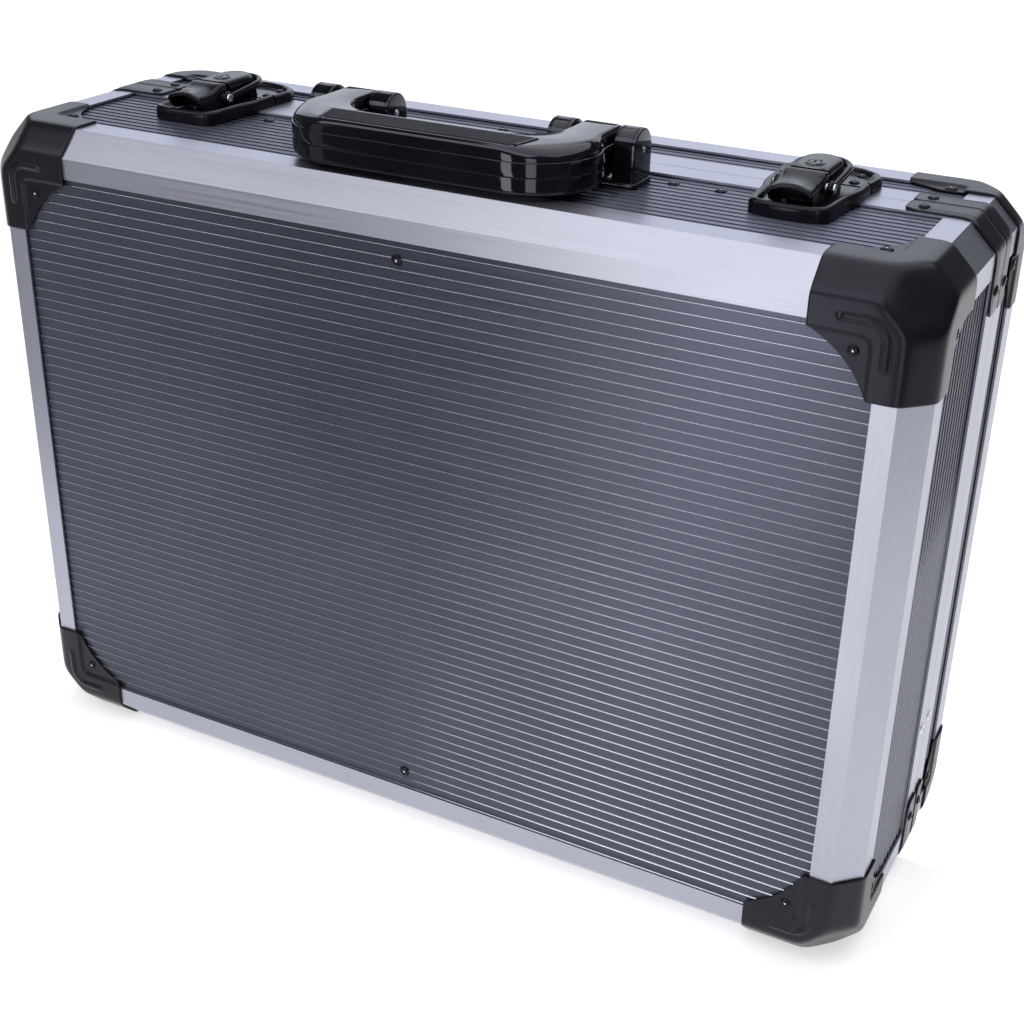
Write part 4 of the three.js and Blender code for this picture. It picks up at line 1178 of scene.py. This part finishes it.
def latch_bail(x0):
    """A flattened wire loop with an eye at each end."""
    shape = Shape()
    depth, height = LATCH_PIN
    reach, bend = 11.4, 97.0
    start = depth + 2.2
    path = [(reach, start + (bend - start) * k / 5, height + 0.4 * k) for k in range(5)]
    for k in range(25):
        x, y = math.cos(math.pi * k / 24), math.sin(math.pi * k / 24)
        path.append((reach * x, bend + reach * y, height + 2.0 + 0.9 * y))
    path += [(-x, d, h) for x, d, h in reversed(path[:5])]
    path = [(x0 + x, d, h) for x, d, h in path]
    section = [(1.4 * math.copysign(abs(a) ** 0.8, a), 1.75 * math.copysign(abs(b) ** 0.8, b))
               for a, b in circle(1.0, 16)]
    rail(shape, path, section)
    for leg in (-1, 1):
        inner, outer = x0 + leg * (reach - 1.4), x0 + leg * (reach + 1.3)
        low, high = min(inner, outer), max(inner, outer)
        eye = [(low, 1.75), (low + 0.2, 2.7), (low + 0.6, 3.1), (high - 0.6, 3.1), (high - 0.2, 2.7),
               (high, 1.75)]
        rings = [[place(x, depth + d, height + h) for d, h in circle(radius, 24)] for x, radius in eye]
        shape.loft(rings, loop=True)
    return shape


for sx, side in SIDES:
    x0 = sx * LATCH_X
    for build, part, body, finish, sharp in (
            (latch_plate, "plate", "base", LATCH, 50),
            (latch_lever, "lever", f"lever_{side}", LATCH, 50),
            (latch_cap, "cap", "base", LATCH, 50),
            (latch_lock, "lock", f"lock_{side}", DARK_STEEL, 40),
            (latch_catch, "catch", "lid", LATCH, 50),
            (latch_bail, "bail", f"bail_{side}", LATCH, 50)):
        node = f"latch_{part}_{side}"
        piece(f"{node}_cast", build(x0), body, finish, [node], sharp)
    node = f"latch_plate_{side}"
    piece(f"{node}_pin", latch_pin(x0), "base", STEEL, [node], 40)


# ---- Hinges and stays, from the CAD ----

for _, side in SIDES:
    for shell in SHELLS:
        cad_finish(f"hinge_leaf_{shell}_{side}", BLACK)
        cad_finish(f"stay_link_{shell}_{side}", STEEL, 0.2)
    cad_finish(f"hinge_pin_{side}", STEEL)


# ---- Linings ----


def lining(shell):
    """A pressed tray of foam-backed fabric with rounded corners."""
    low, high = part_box(f"{shell}_lining")
    x1, z0, z1 = high.x / MM, low.z / MM, high.z / MM
    y0, y1 = low.y / MM, high.y / MM
    floor, mouth = (y0, y1) if shell == "base" else (y1, y0)
    step = 1 if shell == "base" else -1
    thick = 2.4
    middle = (z0 + z1) / 2

    def ring(inset, y, radius):
        a, b = x1 - inset - radius, (z1 - z0) / 2 - inset - radius
        points = []
        for cx, cz, start in ((a, b, 0), (-a, b, 90), (-a, -b, 180), (a, -b, 270)):
            points += [(px, y, middle + pz) for px, pz in arc(cx, cz, radius, start, start + 90, 8)]
        return points

    rings = []
    for k in range(7):
        turn = math.radians(90 * k / 6)
        inset = 14 * (1 - math.sin(turn)) + 0.2
        rings.append(ring(inset, floor + step * 13.986 * (1 - math.cos(turn)), 22 - inset * 0.5))
    rings.append(ring(0.2, mouth, 21.9))
    rings.append(ring(0.2 + thick, mouth, 20))
    for k in range(6, -1, -1):
        turn = math.radians(90 * k / 6)
        inset = 12 * (1 - math.sin(turn)) + 0.2 + thick
        rise = thick + 12 * (1 - math.cos(turn))
        rings.append(ring(inset, floor + step * rise, 20 - inset * 0.5))
    obj = piece(f"{shell}_lining_fabric", Shape().loft(rings), shell, LINING,
                [f"{shell}_lining"], 60)


lining("base")
lining("lid")


# ---- Stage ----


# The case stands at the edge of a shallow step, so that its lid can swing down behind it: the
# floor's (y, z) line from its front edge backwards, in metres
STEP = 0.019
UNDER = -0.0002  # just clear of the protectors
FLOOR_LINE = [(-0.31, UNDER), (STEP, UNDER), (STEP - 0.06, -0.2), (0.55, -0.2), (1.5, 0.0), (12.0, 0.0)]
FLOOR_HALF = 12.0


def stage():
    """The floor, pale and faintly self-lit so that it stays even."""
    mesh = bpy.data.meshes.new("floor")
    verts = [(x, y, z) for y, z in FLOOR_LINE for x in (-FLOOR_HALF, FLOOR_HALF)]
    mesh.from_pydata(verts, [], [(k, k + 1, k + 3, k + 2) for k in range(0, len(verts) - 2, 2)])
    floor = new_object("floor", mesh)
    made = Nodes("floor").set(Roughness=0.9)
    made.set(Base_Color=made.ramp(made.noise(3, 2.0), 0.0, 1.0, (0.68, 0.68, 0.68), (0.70, 0.70, 0.70)))
    made.set(Emission_Color=(1.0, 1.0, 1.0, 1.0), Emission_Strength=0.56)
    floor.data.materials.append(made.material)


def light(name, size, power, at, towards, tint=(1.0, 1.0, 1.0)):
    """A rectangular lamp, turned towards a point."""
    lamp = bpy.data.lights.new(name, "AREA")
    lamp.shape = "RECTANGLE"
    lamp.size, lamp.size_y = size
    lamp.energy = power
    lamp.color = tint
    obj = new_object(name, lamp)
    obj.location = at
    obj.rotation_euler = (Vector(towards) - Vector(at)).to_track_quat("-Z", "Y").to_euler()


CAMERA_AT = (0.3441, -0.6301, 0.5116)
CAMERA_TURN = (62.80, -1.024, 27.907)  # degrees
LENS = 56.19


def camera():
    data = bpy.data.cameras.new("camera")
    data.lens = LENS
    data.sensor_width = 36.0
    data.clip_start = 0.02
    obj = new_object("camera", data)
    obj.location = CAMERA_AT
    obj.rotation_euler = [math.radians(a) for a in CAMERA_TURN]
    bpy.context.scene.camera = obj


def world():
    made = bpy.data.worlds.new("studio")
    made.use_nodes = True
    background = made.node_tree.nodes["Background"]
    background.inputs["Color"].default_value = (0.82, 0.87, 1.0, 1.0)
    background.inputs["Strength"].default_value = 0.10
    bpy.context.scene.world = made
    bpy.context.scene.view_settings.view_transform = "Standard"


stage()
camera()
world()
light("overhead", (3.0, 3.0), 47, (0.5, 0.7, 2.3), (0.5, 0.7, 0))
light("fore", (3.6, 1.3), 38, (-0.9, -1.5, 2.2), (-0.9, -1.5, 0))
light("behind", (3.6, 1.6), 23, (-1.0, 2.3, 1.4), (0, 0, 0.3), (0.84, 0.89, 1.0))
light("left", (0.75, 2.0), 1.7, (-1.35, -1.15, 0.15), (0, 0, 0.15))
light("front", (0.45, 2.0), 11, (-0.37, -1.72, 0.1), (0, 0, 0.15))
light("right", (0.45, 2.0), 7, (0.72, -1.55, 0.1), (0, 0, 0.15))
